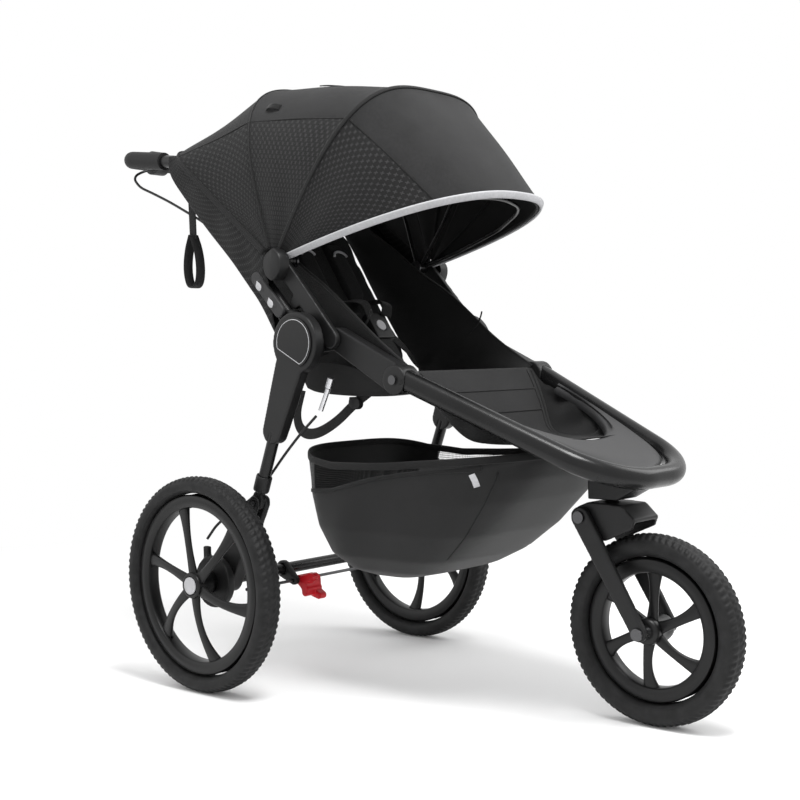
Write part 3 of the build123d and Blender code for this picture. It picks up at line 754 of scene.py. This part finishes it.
for bay, low, high, _, _ in BAYS:
    seam(bay, low, high)


def roof_patch(name, low, high, left, right, material, rise=-0.0022, thickness=0.0012):
    """A piece of cloth sewn on the roof, between two elevations and two shares."""
    elevation, share = np.linspace(low, high, 10)[:, None], np.linspace(left, right, 30)[None, :]
    piece = surface(name, canopy_point(elevation + 0 * share, share + 0 * elevation, rise))
    piece.data.materials.append(material)
    thicken(piece, thickness, 0.0)
    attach(piece, "canopy_carrier")


roof_patch("vent_flap", 84.5, 86.5, 0.40, 0.60, BINDING)
roof_patch("vent_zip", 87.0, 88.2, 0.40, 0.60, BINDING, -0.0030, 0.0022)
path, out, _ = arch_frame(np.linspace(99, 92, 12), 0.700, -0.002)
tab = sweep("roof_tab", path + out * (0.006 * np.sin(np.linspace(0, pi, 12)))[:, None],
            oval(0.012, 0.002, 12, 4), out)
tab.data.materials.append(BINDING)
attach(tab, "canopy_carrier")

# %% [markdown]
# ## Plastic covers and badge rings
# A moulded cover hides each canopy pivot. The hinge badge is a plain inlay with a light edge line.


# %% Covers, badge rings and rail plates
def slab(name, corners, y0, y1, material, body, bevel=0.003):
    """A flat moulding with an outline in (x, z), between two distances from the middle."""
    outline = smooth_path(list(corners) + [corners[0]], 49, 2)[:-1]
    centre = outline.mean(0)
    rings = []
    for y, shrink in ((y0, 0), (y1 - bevel, 0), (y1 - bevel * 0.3, bevel * 0.4), (y1, bevel)):
        ring = outline + unit(centre - outline) * shrink
        rings.append(np.stack([ring[:, 0], np.full(len(ring), y), ring[:, 1]], 1))
    rings.append(np.repeat(np.array([[centre[0], y1, centre[1]]]), len(outline),
                           0) + (rings[-1] - [centre[0], y1, centre[1]]) * 0.02)
    pieces = []
    for side, sign in (("left", 1), ("right", -1)):
        piece = face_out(surface(f"{name}_{side}", np.stack(rings) * (1, sign, 1), (False, True)))
        piece.data.materials.append(material)
        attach(piece, body)
        pieces.append(piece)
    return pieces


slab("pivot_cover", [(0.150, 0.806), (0.170, 0.790), (0.166, 0.762), (0.144, 0.742), (0.122, 0.764),
                     (0.124, 0.794)],
     0.2105, 0.2350, MOULDED, "handle", 0.004)
for k, x in enumerate((0.112, 0.142)):
    z = HINGE[2] + (HINGE[0] - x) * 1.062
    slab(f"rail_mark_{k}", [(x - 0.0075, z + 0.010), (x + 0.0055, z + 0.001), (x + 0.0005, z - 0.011),
                            (x - 0.0125, z - 0.002)],
         0.2320, 0.2329, SILVER_AND_PAINTED_REFLECTION, "handle", 0.0005)

BADGE_R, BADGE_CUT, BADGE_TILT = 0.0405, 0.0260, radians(-28)
turn = np.linspace(0, 2 * pi, 145)[:-1]
toward_cut = np.cos(turn) * sin(BADGE_TILT) - np.sin(turn) * cos(BADGE_TILT)
reach = np.where(toward_cut > 0.05, np.minimum(BADGE_R, BADGE_CUT / np.maximum(toward_cut, 0.05)), BADGE_R)
for side, sign in (("left", 1), ("right", -1)):
    line = np.stack([HINGE[0] + reach * np.cos(turn), np.full_like(turn, sign * 0.2487),
                     HINGE[2] + reach * np.sin(turn)], 1)
    ring = sweep(f"badge_ring_{side}", line, oval(0.0013, 0.0008, 8), (0, sign, 0), closed=True)
    ring.data.materials.append(PIPING)
    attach(ring, "rear_legs")
finish_node("hinge_badges", BADGE)
finish_node("brake_cable_upper", CABLE_BLACK)
finish_node("brake_cable_lower", CABLE_BLACK)
finish_node("buckle_button", SILVER_AND_PAINTED_REFLECTION)

# %% [markdown]
# ## Seat
# The seat is a sling with padded sides. Its back and base are pads: a cut shape is swollen by a
# short cloth simulation with air pressure inside, so its faces crown and its edges pull in.


# %% Padded forms by cloth simulation
def pad_form(name, plane, size, thick, crown, nodes, material, rows=(48, 40)):
    """A closed pillow on a plane: origin, across, up and outward axes. The outline is a rounded
    rectangle, and the front face crowns away from a thin edge."""
    origin, across, up, out = [np.asarray(v, float) for v in plane]
    a, b = np.meshgrid(np.linspace(-1, 1, rows[0]), np.linspace(-1, 1, rows[1]), indexing="ij")
    far = np.maximum(np.abs(a), np.abs(b))
    fit = far / np.maximum((np.abs(a) ** 7 + np.abs(b) ** 7) ** (1 / 7), 1e-6)
    x, z = a * fit * size[0] / 2, (b * fit + 1) * size[1] / 2
    edge = 1 - far ** 6
    lift = {1: np.where(edge > 0.02, thick + crown * edge, 0.65 * thick),
            -1: np.where(edge > 0.02, 0, 0.35 * thick)}
    front, back = [origin + x[..., None] * across + z[..., None] * up + lift[k][..., None] * out
                   for k in (1, -1)]
    rims = [np.concatenate([g[:, 0], g[-1, 1:], g[-2::-1, -1], g[0, -2:0:-1]]) for g in (front, back)]
    parts = [surface(name, front), surface("back", back), surface("rim", np.stack(rims, 1), (True, False))]
    piece = face_out(join(name, parts))
    piece.data.materials.clear()
    piece.data.materials.append(material)
    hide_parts(*nodes)
    return piece


def inflate(piece, voxel=0.006, pressure=4.0, limit=0.010):
    """Voxel remesh, then cloth with pressure and no gravity for 20 frames. A point moves no further
    than the limit. One subdivision level smooths the result."""
    material = piece.data.materials[0]
    remesh = piece.modifiers.new("even", "REMESH")
    remesh.mode, remesh.voxel_size = "VOXEL", voxel
    apply_modifiers(piece)
    before = mesh_points(piece)
    settings = piece.modifiers.new("air", "CLOTH").settings
    settings.use_pressure, settings.uniform_pressure_force = True, pressure
    settings.effector_weights.gravity = 0
    for step in range(1, 21):
        bpy.context.scene.frame_set(step)
    apply_modifiers(piece)
    bpy.context.scene.frame_set(1)
    move = mesh_points(piece) - before
    length = np.linalg.norm(move, axis=1, keepdims=True)
    set_points(piece, before + move * np.minimum(1, limit / np.maximum(length, 1e-9)))
    smooth = piece.modifiers.new("smooth", "SUBSURF")
    smooth.levels = smooth.render_levels = 1
    apply_modifiers(piece)
    piece.data.materials.clear()
    piece.data.materials.append(material)
    piece.data.shade_smooth()
    return piece


def box_map(piece):
    """A UV map in metres, from the two directions that each face looks away from."""
    mesh, points = piece.data, mesh_points(piece)
    if not mesh.uv_layers:
        mesh.uv_layers.new(name="UVMap")
    loops = np.zeros(len(mesh.loops), np.int64)
    mesh.loops.foreach_get("vertex_index", loops)
    normals = np.zeros(len(mesh.polygons) * 3)
    mesh.polygons.foreach_get("normal", normals)
    totals = np.zeros(len(mesh.polygons), np.int64)
    mesh.polygons.foreach_get("loop_total", totals)
    facing = np.repeat(np.abs(normals.reshape(-1, 3)).argmax(1), totals)
    corner = points[loops]
    u = np.where(facing == 0, corner[:, 1], corner[:, 0])
    v = np.where(facing == 2, corner[:, 1], corner[:, 2])
    mesh.uv_layers[0].data.foreach_set("uv", np.stack([u, v], 1).ravel())
    return piece


ACROSS = (0, 1, 0)
LEAN = radians(122.5)
BACK_UP = np.array((cos(LEAN), 0, sin(LEAN)))
BACK_OUT = np.array((sin(LEAN), 0, -cos(LEAN)))
BACK_FOOT = np.array((0.163, 0, 0.572))


def on_back(across, up, out):
    """A point on the seat back: across it, up it, and in front of its plane."""
    return BACK_FOOT + np.array(ACROSS) * across + BACK_UP * up + BACK_OUT * out


def pad(name, plane, size, thick, crown, nodes, material, body, rows=(48, 40), blown=True):
    piece = pad_form(name, plane, size, thick, crown, nodes, material, rows)
    box_map(inflate(piece) if blown else piece)
    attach(piece, body)
    return piece


pad("seat_back_pad", (on_back(0, 0.010, -0.028), ACROSS, BACK_UP, BACK_OUT), (0.286, 0.372), 0.024, 0.008,
    ["seat_back"], SEAT, "seat_back_body")
pad("seat_base_pad", ((0.176, 0, 0.5470), ACROSS, (0.9994, 0, 0.035), (-0.035, 0, 0.9994)), (0.288, 0.226),
    0.018,
    0.008, ["seat_base"], SEAT, "front_frame")
for side, y in (("right", -0.045), ("left", 0.045)):
    pad(f"shoulder_pad_{side}", (on_back(y, 0.165, 0.006), ACROSS, BACK_UP, BACK_OUT), (0.046, 0.135), 0.016,
        0.005, ["shoulder_pads"], SEAT_LIGHT, "seat_back_body", (16, 30), False)
    # The hoops are dark plastic; their light silver colour is a painted reflection.
    hoop = [on_back(y + 0.017 * cos(t), 0.262 + 0.012 * sin(t), 0.030) for t in np.linspace(0, pi, 16)]
    ring = sweep(f"adjuster_hoop_{side}", hoop, oval(0.005, 0.004, 10, 3), BACK_OUT)
    ring.data.materials.append(SILVER_AND_PAINTED_REFLECTION)
    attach(ring, "seat_back_body")

# %% [markdown]
# ## Seat sides, calf panel and foot well
# These are sheets held at their edges. Each is a grid of straight lines between two curves, bowed a
# little where the cloth hangs, and given a real thickness.


# %% Sheets between curves
def between(curve_a, curve_b, rows, bow=(0, 0, 0)):
    """Straight lines between matching points of two curves, pushed out along bow by a half sine."""
    share = np.linspace(0, 1, rows)[:, None, None]
    return curve_a[None] * (1 - share) + curve_b[None] * share + np.sin(pi * share) * np.asarray(bow, float)


def hung(name, grid, material, nodes=(), thickness=0.0025, keep=0.25, body="front_frame"):
    """A sheet given a real thickness and put on a body; it does not flatten with the fold."""
    piece = surface(name, grid)
    thicken(piece, thickness, 0.0, 1)
    face_out(piece)
    piece.data.materials.append(material)
    settle(piece, body, keep)
    if nodes:
        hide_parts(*nodes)
    return piece


def settle(piece, body="front_frame", keep=0.25):
    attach(piece, body)
    if keep < 1:
        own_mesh(piece)


WING_TOP = [(-0.060, 0.160, 0.918), (0.020, 0.163, 0.868), (0.090, 0.162, 0.822), (0.150, 0.163, 0.774),
            (0.215, 0.167, 0.735), (0.265, 0.168, 0.696), (0.338, 0.166, 0.634), (0.418, 0.172, 0.582)]
WING_LOW = [(-0.048, 0.146, 0.880), (-0.010, 0.147, 0.822), (0.048, 0.147, 0.728), (0.100, 0.148, 0.650),
            (0.150, 0.149, 0.575), (0.220, 0.149, 0.566), (0.320, 0.150, 0.566), (0.410, 0.152, 0.571)]
for side, flip in (("left", 1), ("right", -1)):
    top, low = [smooth_path(c, 80) * (1, flip, 1) for c in (WING_TOP, WING_LOW)]
    grid = between(top, low, 30, (0, -0.006 * flip, -0.004))
    u, v = np.linspace(0, 1, 30)[:, None], np.linspace(0, 1, 80)[None, :]
    grid[..., 1] += flip * 0.0035 * np.sin(22 * v + 5 * u) * np.sin(pi * u) * np.sin(pi * v)
    hung(f"seat_wing_{side}", grid, SEAT, ["seat_sides"], 0.0045)
    edge = sweep(f"seat_wing_piping_{side}", top, oval(0.0060, 0.0060, 10), (0, flip, 0))
    edge.data.materials.append(BINDING)
    settle(edge)
    under = smooth_path([(0.132, 0.1680, 0.612), (0.170, 0.1690, 0.602), (0.250, 0.1700, 0.598),
                         (0.330, 0.1700, 0.575),
                         (0.400, 0.1700, 0.560)], 60) * (1, flip, 1)
    hem = smooth_path([(0.150, 0.1560, 0.552), (0.176, 0.1560, 0.543), (0.260, 0.1560, 0.537),
                       (0.350, 0.1560, 0.536),
                       (0.412, 0.1560, 0.541)], 60) * (1, flip, 1)
    hung(f"seat_skirt_{side}", between(under, hem, 14, (0, 0.002 * flip, 0)), SEAT, (), 0.0022)
    arc = np.linspace(radians(200), radians(350), 40)
    pocket = np.stack([0.240 + 0.075 * np.cos(arc), np.full(40, flip * 0.1560), 0.700 + 0.062 * np.sin(arc)],
                      1)
    stitch = sweep(f"seat_wing_seam_{side}", pocket, oval(0.003, 0.003, 8), (0, flip, 0))
    stitch.data.materials.append(BINDING)
    settle(stitch)

SLOPE, LOOP_Y, NOSE_Y, LOOP_LENGTH, TUBE = radians(24.5), 0.195, 0.120, 0.394, 0.018
LOOP_START = np.array((0.425, 0, 0.565))
ALONG = np.array((cos(SLOPE), 0, -sin(SLOPE)))
ABOVE = np.array((sin(SLOPE), 0, cos(SLOPE)))


def on_loop(s, y, n):
    """A point from its place along the front loop, across it, and above the plane of its tube."""
    s, y, n = [np.asarray(v, float)[..., None] for v in np.broadcast_arrays(s, y, n)]
    return LOOP_START + s * ALONG + y * np.array(ACROSS) + n * ABOVE


WELL = smooth_path([(0.396, 0.568, 0.180), (0.412, 0.581, 0.178), (0.422, 0.572, 0.174),
                    (0.462, 0.512, 0.152),
                    (0.492, 0.464, 0.126), (0.530, 0.456, 0.118), (0.600, 0.456, 0.112),
                    (0.640, 0.458, 0.096),
                    (0.668, 0.462, 0.070)], 90)
places = np.linspace(-1, 1, 60)
well_grid = np.stack([np.repeat(WELL[:, :1], 60, 1), WELL[:, 2:] * places, np.repeat(WELL[:, 1:2], 60, 1)],
                     -1)
fall = np.clip((np.arange(90) - 8) / 40, 0, 1)[:, None]
well_grid[..., 0] += 0.006 * np.sin(pi * fall) * (1 - places ** 2)
hung("calf_panel_sheet", well_grid[:52], SEAT_LIGHT, ["calf_panel"], 0.0030, 1)
hung("foot_well_floor", well_grid[51:], SEAT, ["foot_well"], 0.0026, 1)
for side, flip in (("left", 1), ("right", -1)):
    reach = np.linspace(0.002, 0.262, 90)
    rim_y = LOOP_Y - (LOOP_Y - NOSE_Y) * reach / LOOP_LENGTH - TUBE + 0.002
    rim_y = np.where(reach > 0.19,
                     np.minimum(rim_y, 0.004 + 0.160 * np.sqrt(
                         np.clip(1 - ((reach - 0.06) / 0.203) ** 2, 0.02, 1))), rim_y)
    top = on_loop(reach, flip * rim_y, -0.003)
    low = np.stack([WELL[:, 0], flip * WELL[:, 2], WELL[:, 1]], 1)
    grid = between(top, low, 26, (0, flip * 0.004, -0.006))
    v = np.linspace(0, 1, 26)[:, None]
    grid[..., 1] += flip * 0.0045 * np.sin(np.linspace(0, 26, 90))[None, :] * np.sin(pi * v)
    hung(f"foot_well_side_{side}", grid, SEAT, (), 0.0024, 1)
    for k, share in enumerate((0.87, 0.93)):
        line = well_grid[7:50, int(round((1 + flip * share) / 2 * 59))] + (0.002, 0, 0.001)
        stitch = sweep(f"calf_seam_{side}_{k}", line, oval(0.002, 0.0016, 8), (0.84, 0, 0.54))
        stitch.data.materials.append(BINDING)
        settle(stitch, keep=1)
for k, row in enumerate((18, 30)):
    stitch = sweep(f"calf_cross_seam_{k}", well_grid[row, 4:-4] + (0.0022, 0, 0.001), oval(0.002, 0.0016, 8),
                   (0.84, 0, 0.54))
    stitch.data.materials.append(BINDING)
    settle(stitch, keep=1)

# %% [markdown]
# ## Nose plate
# The plate lies inside the front of the loop, dished a little towards the foot opening. It is a
# ring of lines from the opening's ellipse out to the tube, with a rolled inner lip.

# %% Nose plate
OPENING = (0.060, 0.202, 0.160)
turn = np.linspace(-pi / 2, pi / 2, 121)
lip = np.stack([OPENING[0] + OPENING[1] * np.cos(turn), OPENING[2] * np.sin(turn)], 1)
gap = TUBE - 0.001
front_end = LOOP_LENGTH - gap
side_line = [(0.060, LOOP_Y - 0.0114 - gap), (0.285, LOOP_Y - 0.0543 - gap * 1.018), (0.352, 0.086),
             (front_end, 0.026)]
outer = smooth_path([(s, -y) for s, y in side_line] + [(front_end, 0.0)]
                    + [(s, y) for s, y in side_line[::-1]], 121, 4)
profile = [(0.0, -0.010), (-0.0015, -0.002), (0.0015, 0.0035), (0.008, 0.0062)]
rows = [on_loop(lip[:, 0] + d, lip[:, 1] * (1 + d / 0.16), n) for d, n in profile]
for share in np.linspace(0.12, 1, 12):
    mid = lip * (1 - share) + outer * share
    rows.append(on_loop(mid[:, 0], mid[:, 1], 0.0066 + 0.0050 * share - 0.006 * share ** 8))
rows.append(on_loop(outer[:, 0], outer[:, 1], -0.004))
plate = surface("nose_plate_cover", np.stack(rows))
plate.data.materials.append(MOULDED_GREY)
face_out(plate)
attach(plate, "front_frame")
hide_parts("nose_plate")
frame_mould = bpy.data.objects.get("nose_plate_moulding")
if frame_mould:
    bpy.data.objects.remove(frame_mould)

# %% [markdown]
# ## Basket
# One sheet from a sagging rim down to a soft belly. Its rows follow the lower edge of the mesh
# windows, so the windows are simply the rows above that edge, turned into real threads.

# %% Basket shell
LEVELS = np.array([(0.208, 0.225, 0.330, 0.088), (0.222, 0.190, 0.395, 0.126), (0.250, 0.152, 0.452, 0.152),
                   (0.300, 0.130, 0.520, 0.172), (0.360, 0.118, 0.580, 0.184), (0.400, 0.113, 0.612, 0.187),
                   (0.440, 0.110, 0.632, 0.188)])
RIM_LINE = [(0.110, 0.440), (0.160, 0.424), (0.236, 0.415), (0.357, 0.417), (0.492, 0.427), (0.632, 0.438)]
WINDOW_LINE = [(0.110, 0.362), (0.235, 0.371), (0.357, 0.398), (0.440, 0.409), (0.632, 0.424)]
WINDOW_ROWS, BELLY_ROWS, ROUND = 9, 40, 200


def basket_points(turns, depth):
    """depth runs from 0 at the rim, through 1 at the lower edge of the windows, to 2 at the belly."""
    c, s = np.cos(turns), np.sin(turns)
    c, s = np.sign(c) * np.abs(c) ** 0.5, np.sign(s) * np.abs(s) ** 0.5
    x = 0.371 + 0.261 * c
    rim_z, line_z = [np.interp(x, *np.array(line).T) for line in (RIM_LINE, WINDOW_LINE)]
    low = LEVELS[0, 0]
    z = np.where(depth < 1, rim_z + (line_z - rim_z) * depth,
                 line_z + (low - line_z) * np.clip(depth - 1, 0, 1) ** 0.85)
    rear, front, half = [np.interp(z, LEVELS[:, 0], LEVELS[:, k]) for k in (1, 2, 3)]
    soft = 0.0022 * np.sin(9 * turns + 3 * depth) * np.sin(pi * np.clip(depth / 2, 0, 1))
    return np.stack([(rear + front) / 2 + (front - rear) / 2 * c * (1 + soft), half * s * (1 + 4 * soft),
                     z + 0 * c], -1)


def basket_piece(piece):
    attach(piece, "front_frame")
    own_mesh(piece)


turns = np.linspace(0, 2 * pi, ROUND, endpoint=False)
depths = np.concatenate([np.linspace(0, 1, WINDOW_ROWS), 1 + np.linspace(0, 1, BELLY_ROWS)[1:]])
shell = basket_points(turns[None, :] + 0 * depths[:, None], depths[:, None] + 0 * turns[None, :])
middle = shell[-1].mean(0)
closing = [middle + (shell[-1] - middle) * k + np.array((0, 0, -0.004 * (1 - k)))
           for k in (0.85, 0.6, 0.3, 0.04)]
shell = np.concatenate([shell, np.stack(closing)])
on_side = np.abs(shell[0, :, 1]) > 0.172
on_side &= (shell[0, :, 0] > 0.135) & (shell[0, :, 0] < 0.452)


def drop_faces(piece, keep):
    """Removes the faces of a grid that are not to be kept."""
    work = bmesh.new()
    work.from_mesh(piece.data)
    work.faces.ensure_lookup_table()
    bmesh.ops.delete(work, geom=[work.faces[k] for k in np.flatnonzero(~keep)], context="FACES")
    work.to_mesh(piece.data)
    work.free()
    return piece


row_of = np.repeat(np.arange(len(shell) - 1), ROUND)
col_of = np.tile(np.arange(ROUND), len(shell) - 1)
window = (row_of < WINDOW_ROWS - 1) & on_side[col_of] & on_side[(col_of + 1) % ROUND]
basket = drop_faces(surface("basket_shell", shell, (False, True)), ~window)
thicken(basket, 0.0016, 0.0, 1)
basket.data.materials.append(BASKET)
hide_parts("basket")
basket_piece(basket)
mesh_grid = basket_points(
    np.linspace(0, 2 * pi, ROUND * 2, endpoint=False)[None, :] + 0 * np.linspace(0, 1, 13)[:, None],
    np.linspace(0, 1, 13)[:, None] + 0 * np.zeros(ROUND * 2)[None, :])
net_side = np.repeat(on_side, 2)
net_keep = np.tile(net_side & np.roll(net_side, -1), 12)
net = drop_faces(surface("basket_net", mesh_grid, (False, True)), net_keep)
wires = net.modifiers.new("threads", "WIREFRAME")
wires.thickness, wires.use_even_offset = 0.0011, False
apply_modifiers(net)
net.data.materials.append(BINDING)
basket_piece(net)


def basket_line(name, turns, depth, width, thick, material, out=0.001, closed=False):
    path = basket_points(turns, depth)
    away = unit((path - np.array((0.371, 0, 0))) * (0.5, 1, 0))
    piece = sweep(name, path + away * out, oval(width, thick, 14, 3), away, closed=closed)
    piece.data.materials.append(material)
    basket_piece(piece)
    return piece


rim = basket_line("basket_rim_binding", turns, 0 * turns, 0.013, 0.0055, BINDING, 0.0, True)
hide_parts("basket_rim")
for side, first, last in (("left", 0.30, 0.82), ("right", 1.18, 1.70)):
    span = np.linspace(first, last, 60) * pi
    basket_line(f"basket_window_tape_{side}", span, 1 + 0 * span, 0.007, 0.003, BINDING)
    mark = np.linspace(0.292, 0.330, 12) * pi if side == "left" else np.linspace(1.670, 1.708, 12) * pi
    basket_line(f"basket_front_mark_{side}", mark, np.linspace(1.02, 1.10, 12), 0.011, 0.0016, PIPING,
                0.0018)
    mark = np.linspace(0.86, 0.885, 12) * pi if side == "left" else np.linspace(1.115, 1.14, 12) * pi
    basket_line(f"basket_rear_mark_{side}", mark, 0.82 + 0 * mark, 0.012, 0.0016, PIPING, 0.0018)
    sweep_turn = np.linspace(0.235, 0.205, 40) * pi if side == "left" else np.linspace(1.765, 1.795, 40) * pi
    basket_line(f"basket_pocket_seam_{side}", sweep_turn, np.linspace(1.02, 1.75, 40), 0.003, 0.0024, BINDING)

# %% [markdown]
# ## Harness and straps
# Webbing is a flat squared oval carried along a rounded line. The shoulder straps cross the recline
# hinge; their lower runs are baked in place on no body, and their upper runs stay on the seat back.


# %% Webbing
def webbing(name, corners, width, face, body="front_frame", nodes=(), thickness=0.0020):
    piece = strap(name, corners, width, face, thickness)
    piece.data.materials.append(WEBBING)
    if body:
        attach(piece, body)
    if nodes:
        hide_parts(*nodes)
    return piece


BUCKLE = np.array((0.186, 0, 0.662))
for side, sign in (("left", 1), ("right", -1)):
    line = [on_back(0.045 * sign, 0.190, 0.012), on_back(0.045 * sign, 0.150, 0.020),
            BUCKLE + (-0.004, 0.034 * sign, 0.055),
            BUCKLE + (0.000, 0.022 * sign, 0.022)]
    piece = webbing(f"shoulder_strap_{side}", line, 0.024, BACK_OUT, None)
    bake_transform(piece)
    webbing(f"shoulder_strap_upper_{side}",
            [on_back(0.045 * sign, 0.285, 0.010), on_back(0.045 * sign, 0.305, 0.006),
             on_back(0.045 * sign, 0.335, 0.0)], 0.024, BACK_OUT, "seat_back_body")
    webbing(f"waist_strap_{side}",
            [BUCKLE + (-0.004, 0.022 * sign, -0.006), BUCKLE + (0.004, 0.070 * sign, -0.038),
             (0.172, 0.118 * sign, 0.600), (0.160, 0.143 * sign, 0.584)], 0.024, (0.8, 0, 0.6))
webbing("crotch_webbing", [(0.246, 0, 0.562), (0.240, 0, 0.590), (0.222, 0, 0.620), (0.203, 0, 0.640)], 0.030,
        (0.85, 0, 0.5), nodes=["crotch_strap"])
for node, body in (("buckle", "front_frame"),):
    piece = moulded(node, body, MOULDED, 0.0012, 5)

webbing("wrist_strap_band", [(-0.100, -0.211, 0.9460), (-0.098, -0.211, 0.900), (-0.097, -0.211, 0.842)],
        0.020, (0, -1, 0),
        "handle", ["wrist_strap"])
loop_line = smooth_path([(-0.098, 0.850), (-0.111, 0.822), (-0.117, 0.785), (-0.110, 0.754), (-0.096, 0.747),
                         (-0.082, 0.756),
                         (-0.077, 0.785), (-0.083, 0.822), (-0.096, 0.850)], 70)
loop_path = np.stack([loop_line[:, 0], np.full(70, -0.211), loop_line[:, 1]], 1)
outward = unit(loop_path - np.array((-0.097, -0.211, 0.790)))
band = sweep("wrist_strap_loop", loop_path, oval(0.022, 0.0022, 16, 5), outward)
band.data.materials.append(WEBBING)
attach(band, "handle")

webbing("recline_strap", [(0.300, -0.150, 0.545), (0.268, -0.158, 0.523), (0.232, -0.164, 0.492),
                          (0.180, -0.166, 0.468),
                          (0.135, -0.160, 0.470), (0.110, -0.150, 0.500), (0.118, -0.140, 0.548)], 0.020,
        (0, -1, 0.2))
slab("recline_slider", [(0.262, 0.536), (0.284, 0.536), (0.288, 0.520), (0.276, 0.512), (0.258, 0.520)],
            0.1530, 0.1640, MOULDED, "front_frame", 0.002)

# %% [markdown]
# ## World, lights and floor
# A plain studio: white world, a large soft light from the front right and above, a weaker one from
# the left, and a pale floor that fades to white away from the stroller.


# %% Stage
def area_light(name, place, target, size, power):
    data = bpy.data.lights.new(name, "AREA")
    data.size, data.energy = size, power
    light = bpy.data.objects.new(name, data)
    bpy.context.collection.objects.link(light)
    light.location = place
    light.rotation_euler = (Vector(target) - Vector(place)).to_track_quat("-Z", "Y").to_euler()
    return light


def floor_material():
    """Diffuse near the stroller, so it takes shadows; plain white light further out."""
    material = bpy.data.materials.new("floor_pale")
    material.use_nodes = True
    tree = material.node_tree
    tree.nodes.clear()
    place = add(tree, "ShaderNodeTexCoord")
    distance = add(tree, "ShaderNodeVectorMath", operation="LENGTH")
    tree.links.new(place.outputs["Object"], distance.inputs[0])
    far = add(tree, "ShaderNodeMapRange")
    far.interpolation_type = "SMOOTHSTEP"
    tree.links.new(distance.outputs["Value"], far.inputs["Value"])
    for name, value in (("From Min", 1.0), ("From Max", 2.1), ("To Min", 0.0), ("To Max", 1.0)):
        far.inputs[name].default_value = value
    near, white = add(tree, "ShaderNodeBsdfDiffuse"), add(tree, "ShaderNodeEmission")
    near.inputs["Color"].default_value = (0.90, 0.90, 0.90, 1)
    white.inputs["Color"].default_value = (1, 1, 1, 1)
    mix, output = add(tree, "ShaderNodeMixShader"), add(tree, "ShaderNodeOutputMaterial")
    tree.links.new(far.outputs["Result"], mix.inputs["Fac"])
    tree.links.new(near.outputs[0], mix.inputs[1])
    tree.links.new(white.outputs[0], mix.inputs[2])
    tree.links.new(mix.outputs[0], output.inputs["Surface"])
    return material


world = bpy.data.worlds.new("studio")
bpy.context.scene.world = world
world.use_nodes = True
world.node_tree.nodes["Background"].inputs["Color"].default_value = (1, 1, 1, 1)
world.node_tree.nodes["Background"].inputs["Strength"].default_value = 1.0
lights = [area_light("key", (1.3, -0.5, 2.6), (0.25, 0, 0.4), 0.9, 60),
          area_light("fill", (-1.4, -1.8, 1.5), (0.2, 0, 0.5), 1.8, 6),
          area_light("rim", (1.4, 1.6, 1.8), (0.3, 0, 0.5), 1.2, 14)]
reach = np.linspace(-9, 9, 3)
floor = surface("floor", np.stack(np.broadcast_arrays(reach[:, None], reach[None, :], 0.0), -1))
floor.data.materials.append(floor_material())
bpy.context.scene.view_settings.view_transform = "Standard"
